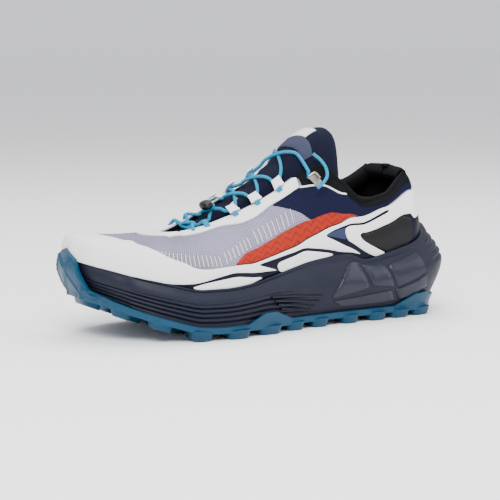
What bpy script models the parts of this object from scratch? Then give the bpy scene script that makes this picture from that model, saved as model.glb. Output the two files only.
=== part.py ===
"""A trail running shoe for the left foot, with its toe towards -X, its lateral side towards -Y and its tread on z = 0.

Run with: blender --background --python part.py
Sizes are metres. A place on the shoe is given by way, which runs round it (0 heel end, 1 heel centre,
2 toe centre, 3 toe end on the lateral side, then 4, 5 and 6 back along the medial side), and by rise,
which runs up it through named rings.
"""

import bmesh
import bpy
import numpy as np

# Driving sizes
LENGTH = 0.306
BALL_WIDTH = 0.110
RIM_HEIGHT = 0.066
INSTEP_RISE = 0.070
TONGUE_HEIGHT = 0.1355
LUG_HEIGHT = 0.0045
PLATE = 0.0028
BAND = 0.0018
BUMPER_THICKNESS = 0.0030
BUMPER_CLEARANCE = 0.0007
WALL = 0.0022
COLLAR_PAD = 0.0070
INSOLE_THICKNESS = 0.0040
TONGUE_THICKNESS = 0.0085
OVERLAY = 0.0010
RIB_DEPTH = 0.0012
LEDGE_DEPTH = 0.0016
LACE_DIAMETER = 0.0024
PULL_TAB_HEIGHT = 0.0015
GAP = 0.0003

HEEL_CENTRE = 0.17
TOE_CENTRE = 0.69
HEEL_ROUND = 2.2
TOE_ROUND = {"lateral": 2.05, "medial": 2.4}
FAN_COLUMNS = 8
SIDE_COLUMNS = 16


def table(names, *rows):
    return dict(zip(names.split(), np.array(rows, float).T))


# Half widths, as shares of half the ball width
WIDTHS = {
    "lateral": table(
        "station bottom flare rim feather belly shoulder crown topline",
        (0.17, 0.64, 0.84, 0.64, 0.59, 0.62, 0.59, 0.54, 0.46),
        (0.23, 0.65, 0.82, 0.64, 0.59, 0.64, 0.61, 0.58, 0.54),
        (0.29, 0.66, 0.80, 0.64, 0.59, 0.65, 0.61, 0.58, 0.56),
        (0.36, 0.66, 0.78, 0.65, 0.60, 0.66, 0.60, 0.55, 0.51),
        (0.44, 0.68, 0.78, 0.68, 0.63, 0.67, 0.58, 0.46, 0.37),
        (0.50, 0.73, 0.83, 0.73, 0.68, 0.71, 0.60, 0.43, 0.29),
        (0.57, 0.83, 0.91, 0.83, 0.78, 0.81, 0.68, 0.46, 0.26),
        (0.63, 0.89, 0.97, 0.89, 0.84, 0.87, 0.74, 0.48, 0.23),
        (0.69, 0.92, 1.00, 0.92, 0.87, 0.90, 0.76, 0.47, 0.19),
    ),
    "medial": table(
        "station bottom flare rim feather belly shoulder crown topline",
        (0.17, 0.62, 0.82, 0.62, 0.57, 0.60, 0.57, 0.52, 0.46),
        (0.23, 0.60, 0.79, 0.61, 0.56, 0.61, 0.59, 0.57, 0.53),
        (0.29, 0.57, 0.74, 0.60, 0.55, 0.60, 0.59, 0.58, 0.55),
        (0.36, 0.54, 0.70, 0.59, 0.54, 0.58, 0.58, 0.56, 0.53),
        (0.44, 0.55, 0.70, 0.61, 0.56, 0.59, 0.58, 0.53, 0.45),
        (0.50, 0.62, 0.75, 0.67, 0.62, 0.65, 0.61, 0.52, 0.39),
        (0.57, 0.76, 0.87, 0.79, 0.74, 0.76, 0.67, 0.51, 0.33),
        (0.63, 0.86, 0.95, 0.88, 0.83, 0.85, 0.72, 0.50, 0.27),
        (0.69, 0.90, 0.99, 0.92, 0.87, 0.89, 0.74, 0.47, 0.20),
    ),
}
# How far each ring reaches behind the heel centre and ahead of the toe centre, as shares of the length
BACK = dict(bottom=0.095, flare=0.129, rim=0.082, feather=0.072, belly=0.060, shoulder=0.042, crown=0.033, topline=0.014)
FRONT = dict(bottom=0.266, flare=0.284, rim=0.285, feather=0.280, belly=0.284, shoulder=0.266, crown=0.170, topline=0.065)
# Heights of the sole's rings, as shares of the rim height
SOLE_HEIGHTS = table(
    "station ground flare rim feather",
    (0.00, 0.050, 0.62, 1.00, 0.91),
    (0.08, 0.010, 0.60, 1.00, 0.91),
    (0.13, 0.000, 0.56, 0.87, 0.78),
    (0.17, 0.000, 0.52, 0.80, 0.70),
    (0.24, 0.000, 0.46, 0.72, 0.62),
    (0.30, 0.000, 0.43, 0.67, 0.58),
    (0.35, 0.000, 0.42, 0.74, 0.61),
    (0.40, 0.000, 0.42, 0.735, 0.61),
    (0.46, 0.000, 0.42, 0.70, 0.59),
    (0.51, 0.000, 0.43, 0.65, 0.56),
    (0.57, 0.000, 0.43, 0.595, 0.515),
    (0.63, 0.000, 0.40, 0.54, 0.47),
    (0.69, 0.000, 0.38, 0.52, 0.455),
    (0.74, 0.010, 0.38, 0.52, 0.455),
    (0.81, 0.095, 0.44, 0.59, 0.515),
    (0.88, 0.205, 0.53, 0.675, 0.59),
    (0.94, 0.320, 0.62, 0.76, 0.665),
    (1.00, 0.430, 0.70, 0.83, 0.74),
)
# Heights of the upper's rings above its feather edge, as shares of the instep rise
UPPER_HEIGHTS = table(
    "station belly shoulder crown topline medial_lift",
    (0.00, 0.20, 0.38, 0.54, 0.70, 0.00),
    (0.08, 0.20, 0.38, 0.54, 0.70, 0.00),
    (0.13, 0.27, 0.48, 0.67, 0.83, 0.00),
    (0.17, 0.27, 0.48, 0.65, 0.79, 0.02),
    (0.24, 0.26, 0.44, 0.57, 0.65, 0.08),
    (0.30, 0.26, 0.44, 0.58, 0.67, 0.12),
    (0.35, 0.25, 0.47, 0.68, 0.82, 0.10),
    (0.40, 0.26, 0.52, 0.79, 0.98, 0.04),
    (0.46, 0.26, 0.54, 0.78, 0.92, 0.03),
    (0.51, 0.24, 0.50, 0.70, 0.80, 0.06),
    (0.57, 0.24, 0.46, 0.63, 0.71, 0.07),
    (0.63, 0.24, 0.44, 0.58, 0.65, 0.06),
    (0.69, 0.23, 0.41, 0.53, 0.58, 0.03),
    (0.74, 0.21, 0.40, 0.50, 0.535, 0.00),
    (0.81, 0.17, 0.35, 0.455, 0.49, 0.00),
    (0.88, 0.17, 0.33, 0.41, 0.43, 0.00),
    (0.94, 0.18, 0.33, 0.37, 0.38, 0.00),
    (1.00, 0.18, 0.34, 0.36, 0.36, 0.00),
)
# The last's curve: how far its centre line lies towards the medial side, as shares of the ball width
CURVE = table(
    "station shift",
    (0.0, 0.0),
    (0.29, -0.01),
    (0.44, -0.02),
    (0.57, -0.01),
    (0.69, 0.0),
    (0.78, 0.015),
    (0.90, 0.045),
    (1.0, 0.07),
)
SOLE_RINGS = ("bottom", "flare", "rim")
UPPER_RINGS = ("feather", "belly", "shoulder", "crown", "topline")


def smooth(xs, ys, x):
    """A monotone cubic through a short row of values, flat past its ends."""
    width = np.diff(xs)
    slope = np.diff(ys) / width
    both = slope[:-1] * slope[1:] > 0
    left, right = 2 * width[1:] + width[:-1], width[1:] + 2 * width[:-1]
    ends = np.where(both, slope[:-1], 1.0), np.where(both, slope[1:], 1.0)
    tangent = np.zeros(len(xs))
    tangent[1:-1] = np.where(both, (left + right) / (left / ends[0] + right / ends[1]), 0.0)
    i = np.clip(np.searchsorted(xs, x, side="right") - 1, 0, len(xs) - 2)
    t = np.clip((x - xs[i]) / width[i], 0, 1)
    from_left = (1 + 2 * t) * (1 - t) ** 2 * ys[i] + t * (1 - t) ** 2 * width[i] * tangent[i]
    return from_left + t * t * (3 - 2 * t) * ys[i + 1] + t * t * (t - 1) * width[i] * tangent[i + 1]


def sole_share(name, station):
    return smooth(SOLE_HEIGHTS["station"], SOLE_HEIGHTS[name], station)


def ground(station):
    """The height of the lugs' feet, which leave the floor at the toe and the heel's edge."""
    return RIM_HEIGHT * sole_share("ground", station)


def ring_height(name, station, medial):
    if name == "bottom":
        return ground(station) + LUG_HEIGHT + PLATE + GAP
    if name in SOLE_HEIGHTS:
        return RIM_HEIGHT * sole_share(name, station)
    share = smooth(UPPER_HEIGHTS["station"], UPPER_HEIGHTS[name], station)
    if name == "topline":
        share = share + medial * smooth(UPPER_HEIGHTS["station"], UPPER_HEIGHTS["medial_lift"], station)
    return RIM_HEIGHT * sole_share("feather", station) + INSTEP_RISE * share


def ring_on_side(name, side, way, grow):
    """Points of one ring on one side, for way from 0 to 3, with the ring grown outwards."""
    half = smooth(
        WIDTHS[side]["station"],
        WIDTHS[side][name] * BALL_WIDTH / 2,
        HEEL_CENTRE + (TOE_CENTRE - HEEL_CENTRE) * np.clip(way - 1, 0, 1),
    )
    half = half + grow
    heel = np.clip(way, 0, 1) * np.pi / 2
    toe = np.clip(way - 2, 0, 1) * np.pi / 2
    toe_round = TOE_ROUND[side]
    station = HEEL_CENTRE + (TOE_CENTRE - HEEL_CENTRE) * np.clip(way - 1, 0, 1)
    station = station - (BACK[name] + grow / LENGTH) * np.cos(heel).clip(0, 1) ** (2 / HEEL_ROUND) * (way < 1)
    station = station + (FRONT[name] + grow / LENGTH) * np.sin(toe) ** (2 / toe_round) * (way > 2)
    half = half * np.sin(heel) ** (2 / HEEL_ROUND) * np.cos(toe).clip(0, 1) ** (2 / toe_round)
    sign = -1 if side == "lateral" else 1
    bend = smooth(CURVE["station"], CURVE["shift"], station) * BALL_WIDTH
    height = ring_height(name, station.clip(0, 1), side == "medial")
    return np.stack([-LENGTH * station, bend + sign * half, height], axis=-1)


def ring(name, way, grow=0.0):
    """Points of one ring, for any way: 0 to 3 is lateral, and 3 to 6 comes back along the medial side."""
    way = np.asarray(way, float) % 6
    lateral = ring_on_side(name, "lateral", way.clip(0, 3), grow)
    medial = ring_on_side(name, "medial", (6 - way).clip(0, 3), grow)
    return np.where((way <= 3)[..., None], lateral, medial) + PLACE


def centre_of_outline():
    """The middle of the shoe's box, from its widest ring and the toe bumper, which the part's origin stands on."""
    outline = ring("flare", np.linspace(0, 6, 361))
    low, high = outline.min(axis=0), outline.max(axis=0)
    low[0] -= BUMPER_THICKNESS + BUMPER_CLEARANCE
    middle = (low + high) / 2
    return -np.array([middle[0], middle[1], 0.0])


PLACE = np.zeros(3)
PLACE = centre_of_outline()
MIDDLE_X = PLACE[0] - 0.5 * LENGTH


def surface(rings, way, rise, grow=0.0):
    """Points on the smooth skin through some rings, with rise from 0 at the first to 1 at the last."""
    way, rise = np.broadcast_arrays(np.asarray(way, float), np.asarray(rise, float))
    points = np.stack([ring(name, way, grow) for name in rings])
    first, last = 2 * points[0] - points[1], 2 * points[-1] - points[-2]
    points = np.concatenate([first[None], points, last[None]])
    spot = rise.clip(0, 1) * (len(rings) - 1)
    i = np.minimum(np.floor(spot).astype(int), len(rings) - 2)
    f = (spot - i)[..., None]
    a, b, c, d = (np.take_along_axis(points, (i + k)[None, ..., None], axis=0)[0] for k in range(4))
    return 0.5 * (2 * b + (c - a) * f + (2 * a - 5 * b + 4 * c - d) * f**2 + (3 * b - a - 3 * c + d) * f**3)


def normal(rings, way, rise):
    """Unit vectors out of the skin."""
    step = 0.004
    across = surface(rings, way + step, rise) - surface(rings, way - step, rise)
    up = surface(rings, way, np.minimum(rise + step, 1)) - surface(rings, way, np.maximum(rise - step, 0))
    out = np.cross(up, across)
    return out / np.maximum(np.linalg.norm(out, axis=-1, keepdims=True), 1e-12)


def rise_at(rings, way, height, grow=0.0):
    """Where a skin reaches a height, found by halving."""
    low, high = np.zeros(np.shape(way)), np.ones(np.shape(way))
    for _ in range(24):
        middle = (low + high) / 2
        below = surface(rings, way, middle, grow)[..., 2] < height
        low, high = np.where(below, middle, low), np.where(below, high, middle)
    return (low + high) / 2


def columns():
    """The ways of the columns round the shoe, heel end first."""
    heel = np.linspace(0, 1, FAN_COLUMNS, endpoint=False)
    side = np.linspace(1, 2, SIDE_COLUMNS, endpoint=False)
    toe = np.linspace(2, 3, FAN_COLUMNS + 1)
    lateral = np.concatenate([heel, side, toe])
    return np.concatenate([lateral, 6 - lateral[-2:0:-1]])


WAYS = columns()
SIDE_WAY = np.where(WAYS <= 3, WAYS, 6 - WAYS)


def split_quads(points, faces):
    """Triangles, with each quad split along its higher diagonal, so that stacked skins split alike."""
    triangles = []
    for face in faces:
        if len(face) == 3:
            triangles.append(face)
            continue
        a, b, c, d = face
        if points[a][2] + points[c][2] > points[b][2] + points[d][2]:
            triangles += [(a, b, c), (a, c, d)]
        else:
            triangles += [(b, c, d), (b, d, a)]
    return triangles


def mesh_object(name, points, faces):
    mesh = bpy.data.meshes.new(name)
    mesh.from_pydata([tuple(point) for point in points], [], split_quads(points, faces))
    obj = bpy.data.objects.new(name, mesh)
    bpy.data.collections["trail_running_shoe"].objects.link(obj)
    return obj


def face_outwards(obj):
    """Turns all faces outwards, and shades round parts smooth."""
    bm = bmesh.new()
    bm.from_mesh(obj.data)
    bmesh.ops.recalc_face_normals(bm, faces=bm.faces)
    bm.to_mesh(obj.data)
    bm.free()
    obj.data.shade_smooth()
    obj.data.set_sharp_from_angle(angle=np.radians(40))
    return obj


def bridge(first, second, count):
    """Quads between two loops whose points start at these indices."""
    return [(first + i, first + (i + 1) % count, second + (i + 1) % count, second + i) for i in range(count)]


def ladder(start, count):
    """Quads across a closed loop, from its lateral to its medial half, with a triangle at each end."""
    half = count // 2
    faces = [(start, start + 1, start + count - 1)]
    faces += [(start + i, start + i + 1, start + count - i - 1, start + count - i) for i in range(1, half - 1)]
    return faces + [(start + half - 1, start + half, start + half + 1)]


def loft(name, loops):
    """A solid through closed loops, capped across its first and last one."""
    count = len(loops[0])
    faces = ladder(0, count)
    for row in range(len(loops) - 1):
        faces += bridge(row * count, (row + 1) * count, count)
    faces += ladder((len(loops) - 1) * count, count)
    return face_outwards(mesh_object(name, np.concatenate(loops), faces))


def sleeve(name, loops):
    """A solid ring through closed loops, the last joined to the first."""
    count = len(loops[0])
    faces = []
    for row in range(len(loops)):
        faces += bridge(row * count, (row + 1) % len(loops) * count, count)
    return face_outwards(mesh_object(name, np.concatenate(loops), faces))


def slab(name, front, back):
    """A solid between two grids of points, front and back."""
    rows, across = front.shape[:2]

    def index(side, i, j):
        return (side * rows + i) * across + j

    faces = []
    for side in (0, 1):
        faces += [
            (index(side, i, j), index(side, i + 1, j), index(side, i + 1, j + 1), index(side, i, j + 1))
            for i in range(rows - 1)
            for j in range(across - 1)
        ]
    for i in range(rows - 1):
        for j in (0, across - 1):
            faces.append((index(0, i, j), index(0, i + 1, j), index(1, i + 1, j), index(1, i, j)))
    for j in range(across - 1):
        for i in (0, rows - 1):
            faces.append((index(0, i, j), index(0, i, j + 1), index(1, i, j + 1), index(1, i, j)))
    points = np.concatenate([front.reshape(-1, 3), back.reshape(-1, 3)])
    return face_outwards(mesh_object(name, points, faces))


def paint(obj, colour, roughness, metallic=0.0):
    material = bpy.data.materials.new(obj.name)
    material.use_nodes = True
    shader = material.node_tree.nodes["Principled BSDF"]
    shader.inputs["Base Color"].default_value = (*colour, 1)
    shader.inputs["Roughness"].default_value = roughness
    shader.inputs["Metallic"].default_value = metallic
    obj.data.materials.clear()
    obj.data.materials.append(material)
    return obj


TEAL = (0.010, 0.150, 0.240)
NAVY = (0.022, 0.027, 0.055)
WHITE = (0.800, 0.800, 0.790)
LILAC = (0.380, 0.365, 0.460)
ORANGE = (0.640, 0.068, 0.012)
CYAN = (0.050, 0.540, 0.760)
BLACK = (0.014, 0.015, 0.018)
STEEL = (0.420, 0.390, 0.360)


def between(start, end, share):
    return start + (end - start) * share


def fade(value, low, high):
    """0 below low, 1 above high and a soft step between them."""
    share = np.clip((value - low) / (high - low), 0, 1)
    return share * share * (3 - 2 * share)


# Midsole

RIBS = 3
HEEL_RIDGES = 3
RIB_BACK, RIB_FRONT = 1.55, 2.75
RIDGE_FRONT = 0.75
BED_DEPTH = 0.0020
BED_INSET = 0.018
BUMPER_BACK, BUMPER_FRONT = 2.55, 2.80
BUMPER_SEAT = 0.0020
INSOLE_EDGE = -(WALL + 2 * GAP)


def midsole_rows():
    """(rise, share of the rib depth, share of the ridge depth) up the midsole's side."""
    flare = 0.5
    rows = [(0.0, 0.0, 0.0)]
    for rib in range(RIBS):
        pitch = flare * 0.80 / RIBS
        low = flare * 0.10 + rib * pitch
        rows += [(low + 0.20 * pitch, 1.0, 0.0), (low + 0.65 * pitch, 0.2, 0.0)]
    rows += [(flare - 0.035, 1.0, 0.0), (flare, 0.0, 0.0)]
    for ridge in range(HEEL_RIDGES):
        pitch = (1 - flare) * 0.72 / HEEL_RIDGES
        low = flare + (1 - flare) * 0.08 + ridge * pitch
        rows += [(low + 0.25 * pitch, 0.0, 1.0), (low + 0.75 * pitch, 0.0, 0.0)]
    return rows


def bed(grow, lift):
    """A loop on the midsole's dished top, which the insole lies on."""
    dish = BED_DEPTH * fade(-grow, WALL, BED_INSET)
    return ring("feather", WAYS, grow) + (0, 0, lift - dish)


def build_midsole():
    ribbed = fade(SIDE_WAY, RIB_BACK - 0.25, RIB_BACK) * (1 - fade(SIDE_WAY, RIB_FRONT, RIB_FRONT + 0.2))
    ridged = 1 - fade(SIDE_WAY, RIDGE_FRONT - 0.2, RIDGE_FRONT + 0.2)
    loops = []
    for rise, rib, ridge in midsole_rows():
        ledge = LEDGE_DEPTH * (0 < rise < 0.5)
        depth = (ledge + RIB_DEPTH * rib) * ribbed + RIB_DEPTH * ridge * ridged
        depth = np.maximum(depth, BUMPER_SEAT * fade(SIDE_WAY, BUMPER_BACK - 0.1, BUMPER_BACK))
        loops.append(surface(SOLE_RINGS, WAYS, rise) - normal(SOLE_RINGS, WAYS, rise) * depth[:, None])
    rim = surface(SOLE_RINGS, WAYS, 1.0)
    lip = surface(UPPER_RINGS, WAYS, rise_at(UPPER_RINGS, WAYS, rim[:, 2]), grow=GAP)
    loops += [rim, lip, ring("feather", WAYS, GAP) - (0, 0, GAP)]
    loops += [bed(-WALL, -GAP), bed(INSOLE_EDGE, -GAP), bed(-BED_INSET, -GAP)]
    return paint(loft("midsole", loops), NAVY, 0.62)


# Outsole

BAND_ROWS = 4
TAB_RISE = 0.0085
RIM_BLEND = 0.004
BAND_TOPS = table(
    "way share",
    (0.00, 0.60),
    (0.60, 0.70),
    (0.82, 1.20),
    (1.00, 1.10),
    (1.10, 0.15),
    (1.66, 0.15),
    (1.76, 0.95),
    (1.82, 0.95),
    (1.90, 0.15),
    (2.40, 0.15),
    (2.62, 0.30),
    (2.80, 0.65),
    (2.87, 2.80),
    (3.00, 3.45),
)
# Lugs: place across from -1 lateral to 1 medial, sizes as shares of the ball width, turn in degrees
LUGS = table(
    "station across long wide turn",
    (0.106, -0.30, 0.13, 0.13, 25),
    (0.106, 0.30, 0.13, 0.13, -25),
    (0.138, -0.84, 0.14, 0.16, 8),
    (0.138, 0.84, 0.14, 0.16, -8),
    (0.168, 0.00, 0.13, 0.16, 0),
    (0.202, -0.86, 0.14, 0.16, 0),
    (0.202, 0.86, 0.14, 0.16, 0),
    (0.235, -0.28, 0.12, 0.14, -20),
    (0.235, 0.28, 0.12, 0.14, 20),
    (0.268, -0.88, 0.13, 0.14, 0),
    (0.268, 0.88, 0.13, 0.14, 0),
    (0.345, -0.88, 0.12, 0.13, 0),
    (0.345, 0.86, 0.12, 0.12, 0),
    (0.345, 0.00, 0.10, 0.16, 0),
    (0.430, -0.88, 0.12, 0.13, 0),
    (0.430, 0.86, 0.12, 0.12, 0),
    (0.500, -0.88, 0.12, 0.14, 0),
    (0.500, 0.86, 0.12, 0.13, 0),
    (0.500, 0.00, 0.11, 0.18, 0),
    (0.575, -0.88, 0.16, 0.16, 0),
    (0.575, 0.88, 0.16, 0.16, 0),
    (0.600, -0.30, 0.12, 0.16, 22),
    (0.600, 0.30, 0.12, 0.16, -22),
    (0.660, -0.90, 0.15, 0.16, 0),
    (0.660, 0.90, 0.15, 0.16, 0),
    (0.680, -0.30, 0.12, 0.16, 22),
    (0.680, 0.30, 0.12, 0.16, -22),
    (0.745, -0.88, 0.14, 0.16, -4),
    (0.745, 0.90, 0.14, 0.16, 4),
    (0.760, -0.30, 0.12, 0.16, 22),
    (0.760, 0.30, 0.12, 0.16, -22),
    (0.825, -0.84, 0.13, 0.15, -10),
    (0.825, 0.88, 0.13, 0.15, 8),
    (0.840, 0.00, 0.12, 0.20, 0),
    (0.895, -0.74, 0.12, 0.15, -24),
    (0.895, 0.82, 0.12, 0.15, 18),
    (0.930, 0.05, 0.12, 0.20, 0),
)
LUG_DRAFT = 0.80


def band_side(share):
    """A loop just off the side of the sole and, at the toe, of the upper, a share of the way up the band."""
    grow = between(GAP, BUMPER_CLEARANCE, fade(SIDE_WAY, BUMPER_BACK, BUMPER_FRONT))
    low = ring("bottom", WAYS)[:, 2]
    top = low + TAB_RISE * np.interp(SIDE_WAY, BAND_TOPS["way"], BAND_TOPS["share"])
    height = between(low, top, share)
    on_sole = surface(SOLE_RINGS, WAYS, rise_at(SOLE_RINGS, WAYS, height, grow), grow)
    on_upper = surface(UPPER_RINGS, WAYS, rise_at(UPPER_RINGS, WAYS, height, grow), grow)
    above_rim = ((height - ring("rim", WAYS)[:, 2]) / RIM_BLEND).clip(0, 1)
    loop = between(on_sole, on_upper, above_rim[:, None])
    loop[:, 2] = height
    return loop


def half_width(station, side):
    """The distance from the centre line to the tread's edge, and that edge's y."""
    way = np.linspace(0.02, 2.98, 297)
    edge = ring("bottom", way if side < 0 else 6 - way, BAND)
    return float(np.interp(station, 0.5 - (edge[:, 0] - MIDDLE_X) / LENGTH, edge[:, 1]))


def add_lug(bm, station, across, long, wide, turn):
    """One tapered block whose foot stands on the ground line and whose head is in the plate."""
    medial, lateral = half_width(station, 1), half_width(station, -1)
    height = LUG_HEIGHT + PLATE * 0.6
    step = 0.01
    slope = (ground(station + step) - ground(station - step)) / (2 * step * LENGTH)
    made = bmesh.ops.create_cube(bm, size=1.0)["verts"]
    angle = np.radians(turn)
    for vertex in made:
        taper = LUG_DRAFT if vertex.co.z < 0 else 1.0
        x, y = vertex.co.x * long * BALL_WIDTH * taper, vertex.co.y * wide * BALL_WIDTH * taper
        x, y = x * np.cos(angle) - y * np.sin(angle), x * np.sin(angle) + y * np.cos(angle)
        rise = max(float(ground(station)) - slope * x, 0.0)
        foot = vertex.co.z < 0
        vertex.co = (
            MIDDLE_X + LENGTH * (0.5 - station) + x,
            between(lateral, medial, (across + 1) / 2) + y - across * wide * BALL_WIDTH * 0.12,
            rise + (0 if foot else height),
        )


def build_outsole():
    inner = [band_side(share) for share in np.linspace(0, 1, BAND_ROWS)]
    thick = between(BAND, BUMPER_THICKNESS, fade(SIDE_WAY, BUMPER_BACK, BUMPER_FRONT))
    away = normal(SOLE_RINGS, WAYS, 0.5) * (1, 1, 0)
    away = away / np.linalg.norm(away, axis=1, keepdims=True) * thick[:, None]
    outer = [loop + away for loop in inner]
    floor_in, floor_out = inner[0] - (0, 0, GAP), outer[0] - (0, 0, GAP + PLATE)
    plate = loft("outsole", [floor_in] + inner[1:] + outer[::-1] + [floor_out])
    bm = bmesh.new()
    for row in zip(*LUGS.values()):
        add_lug(bm, *row)
    mesh = bpy.data.meshes.new("lug_cutter")
    bm.to_mesh(mesh)
    bm.free()
    lugs = helper("lugs", mesh)
    union(plate, lugs)
    return paint(plate, TEAL, 0.55)


def helper(name, mesh):
    """A mesh that only takes part in a Boolean, kept out of the render."""
    obj = bpy.data.objects.new(name, mesh)
    bpy.data.collections["cutters"].objects.link(obj)
    obj.hide_render = True
    obj.display_type = "WIRE"
    return obj


def union(obj, other):
    joint = obj.modifiers.new("join", "BOOLEAN")
    joint.operation = "UNION"
    joint.object = other
    joint.use_self = True
    return obj


# Upper and insole

UPPER_RISES = (0, 0.14, 0.28, 0.42, 0.54, 0.66, 0.78, 0.89, 1)
PAD_FRONT = 1.55


def wall_at(side_way, rise):
    """The wall's thickness, which grows to the pad at the collar."""
    padded = fade(rise, 0.62, 0.90) * (1 - fade(side_way, PAD_FRONT - 0.18, PAD_FRONT))
    return WALL + (COLLAR_PAD - WALL) * padded


def inside(way, rise, clear=0.0):
    """Points on the upper's lining, or clear of it inwards."""
    way = np.asarray(way, float)
    depth = wall_at(np.where(way <= 3, way, 6 - way), rise) + clear
    return surface(UPPER_RINGS, way, rise) - normal(UPPER_RINGS, way, rise) * np.asarray(depth)[..., None]


def build_upper():
    loops = [surface(UPPER_RINGS, WAYS, rise) for rise in UPPER_RISES]
    outer, inner = loops[-1], inside(WAYS, 1.0)
    roll = (outer + inner) / 2
    roll[:, 2] += np.linalg.norm(outer - inner, axis=1) * 0.45
    loops.append(roll)
    loops += [inside(WAYS, rise) for rise in UPPER_RISES[:0:-1]]
    loops.append(ring("feather", WAYS, -WALL))
    return paint(sleeve("upper", loops), LILAC, 0.85)


def build_insole():
    bevel = 0.2 * INSOLE_THICKNESS
    loops = [bed(-BED_INSET, 0), bed(INSOLE_EDGE, 0), bed(INSOLE_EDGE - bevel, INSOLE_THICKNESS - bevel)]
    loops.append(bed(-BED_INSET, INSOLE_THICKNESS))
    return paint(loft("insole", loops), BLACK, 0.9)


# Tongue

# Crown height above the floor as a share of the tongue's height, thickness as a share of its full one
TONGUE = table(
    "way crown thickness edge hem",
    (1.345, 1.000, 0.90, 1.00, 0.86),
    (1.385, 0.998, 1.00, 1.00, 0.86),
    (1.44, 0.978, 1.00, 1.00, 0.86),
    (1.50, 0.922, 0.92, 1.00, 0.86),
    (1.56, 0.855, 0.80, 1.00, 0.86),
    (1.63, 0.780, 0.68, 1.00, 0.86),
    (1.72, 0.700, 0.52, 1.00, 0.86),
    (1.82, 0.630, 0.42, 1.00, 0.86),
    (1.92, 0.570, 0.34, 1.00, 0.85),
    (2.00, 0.536, 0.30, 1.00, 0.84),
    (2.22, 0.490, 0.26, 1.00, 0.80),
    (2.36, 0.470, 0.25, 0.91, 0.73),
    (2.46, 0.458, 0.24, 0.83, 0.66),
    (2.78, 0.440, 0.22, 0.74, 0.52),
)
TONGUE_COLUMNS = 13
TONGUE_CLEARANCE = 0.0010
PAST_EDGE = 0.0028
SHOULDER_OUT, SHOULDER_UP = 0.72, 0.80


def through(points, share):
    """A point on the smooth curve through some points, for a share of the way along them."""
    points = np.asarray(points, float)
    ends = 2 * points[0] - points[1], 2 * points[-1] - points[-2]
    points = np.concatenate([ends[0][None], points, ends[1][None]])
    spot = np.clip(share, 0, 1) * (len(points) - 3)
    i = int(min(np.floor(spot), len(points) - 4))
    f = spot - i
    a, b, c, d = points[i : i + 4]
    return 0.5 * (2 * b + (c - a) * f + (2 * a - 5 * b + 4 * c - d) * f**2 + (3 * b - a - 3 * c + d) * f**3)


def tongue_section(way):
    """Seven points across the tongue: it leaves the lining at the throat's edges and arches between them."""
    crown, edge, hem = (float(smooth(TONGUE["way"], TONGUE[name], way)) for name in ("crown", "edge", "hem"))
    sides = []
    for place in (way, 6 - way):
        low, high = (inside(place, rise, TONGUE_CLEARANCE) for rise in (hem, edge))
        sides.append([low, high + (high - low) / np.linalg.norm(high - low) * PAST_EDGE * fade(edge, 0.9, 1.0)])
    (lateral_hem, lateral_edge), (medial_hem, medial_edge) = sides
    middle = (lateral_edge + medial_edge) / 2
    top = np.array([middle[0], middle[1], max(crown * TONGUE_HEIGHT, middle[2])])
    shoulders = []
    for side in (lateral_edge, medial_edge):
        shoulder = between(top, side, SHOULDER_OUT)
        shoulder[2] = between(side[2], top[2], SHOULDER_UP)
        shoulders.append(shoulder)
    return [lateral_hem, lateral_edge, shoulders[0], top, shoulders[1], medial_edge, medial_hem]


def tongue_face(way, across):
    """A point on the tongue's face, with across from 0 at the lateral hem to 1 at the medial one."""
    return through(tongue_section(way), across)


def tongue_normal(way, across):
    step = 0.01
    along = tongue_face(way + step, across) - tongue_face(way - step, across)
    over = tongue_face(way, across + step) - tongue_face(way, across - step)
    out = np.cross(along, over)
    return out / np.linalg.norm(out) * (1 if out[2] > 0 else -1)


def build_tongue():
    ways = TONGUE["way"]
    across = np.linspace(0, 1, TONGUE_COLUMNS)
    front = np.array([[tongue_face(way, share) for share in across] for way in ways])
    along = np.gradient(front, axis=0)
    over = np.gradient(front, axis=1)
    out = np.cross(along, over)
    out = out / np.linalg.norm(out, axis=2, keepdims=True)
    out = out * np.where(out[:, TONGUE_COLUMNS // 2, 2] > 0, 1, -1)[:, None, None]
    slim = 1 - 0.55 * np.abs(2 * across - 1) ** 3
    depth = TONGUE_THICKNESS * TONGUE["thickness"][:, None] * slim
    return paint(slab("tongue", front, front - out * depth[..., None]), NAVY, 0.85)


# Laces, from the lowest eyelets to the top ones

EYELETS = (2.12, 1.97, 1.84, 1.735, 1.63, 1.50)
EYELET_RISE = 0.93
EYELET_SPREAD = 0.005
LACE_SIDES = 2
LACE_POINTS = 10
LACE_OVER = 0.6


def lace_height(over_upper):
    """How far a lace's centre lies off what it crosses."""
    return LACE_DIAMETER / 2 + (OVERLAY + 3 * GAP if over_upper else 3 * GAP)


def lace_route(lateral_way, medial_way, lift=0.0):
    """Points from a lateral eyelet over the tongue to a medial one. Cords that share an eyelet lie side by side."""
    points = []
    aside = EYELET_SPREAD * np.sign(medial_way - lateral_way)
    for way in (lateral_way + aside, 6 - medial_way + aside):
        ends = []
        for rise, extra in ((EYELET_RISE, 0), (1.0, WALL / 2)):
            off = lace_height(True) + extra
            ends.append(surface(UPPER_RINGS, way, rise) + normal(UPPER_RINGS, way, rise) * off)
        points.append(ends)
    over = []
    for across in (0.30, 0.36, 0.43, 0.50, 0.57, 0.64, 0.70):
        way = between(lateral_way, medial_way, (across - 0.17) / 0.66)
        bump = lift * np.cos((across - 0.5) * np.pi / 0.5)
        over.append(tongue_face(way, across) + tongue_normal(way, across) * (lace_height(False) + bump))
    return points[0] + over + points[1][::-1]


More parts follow.
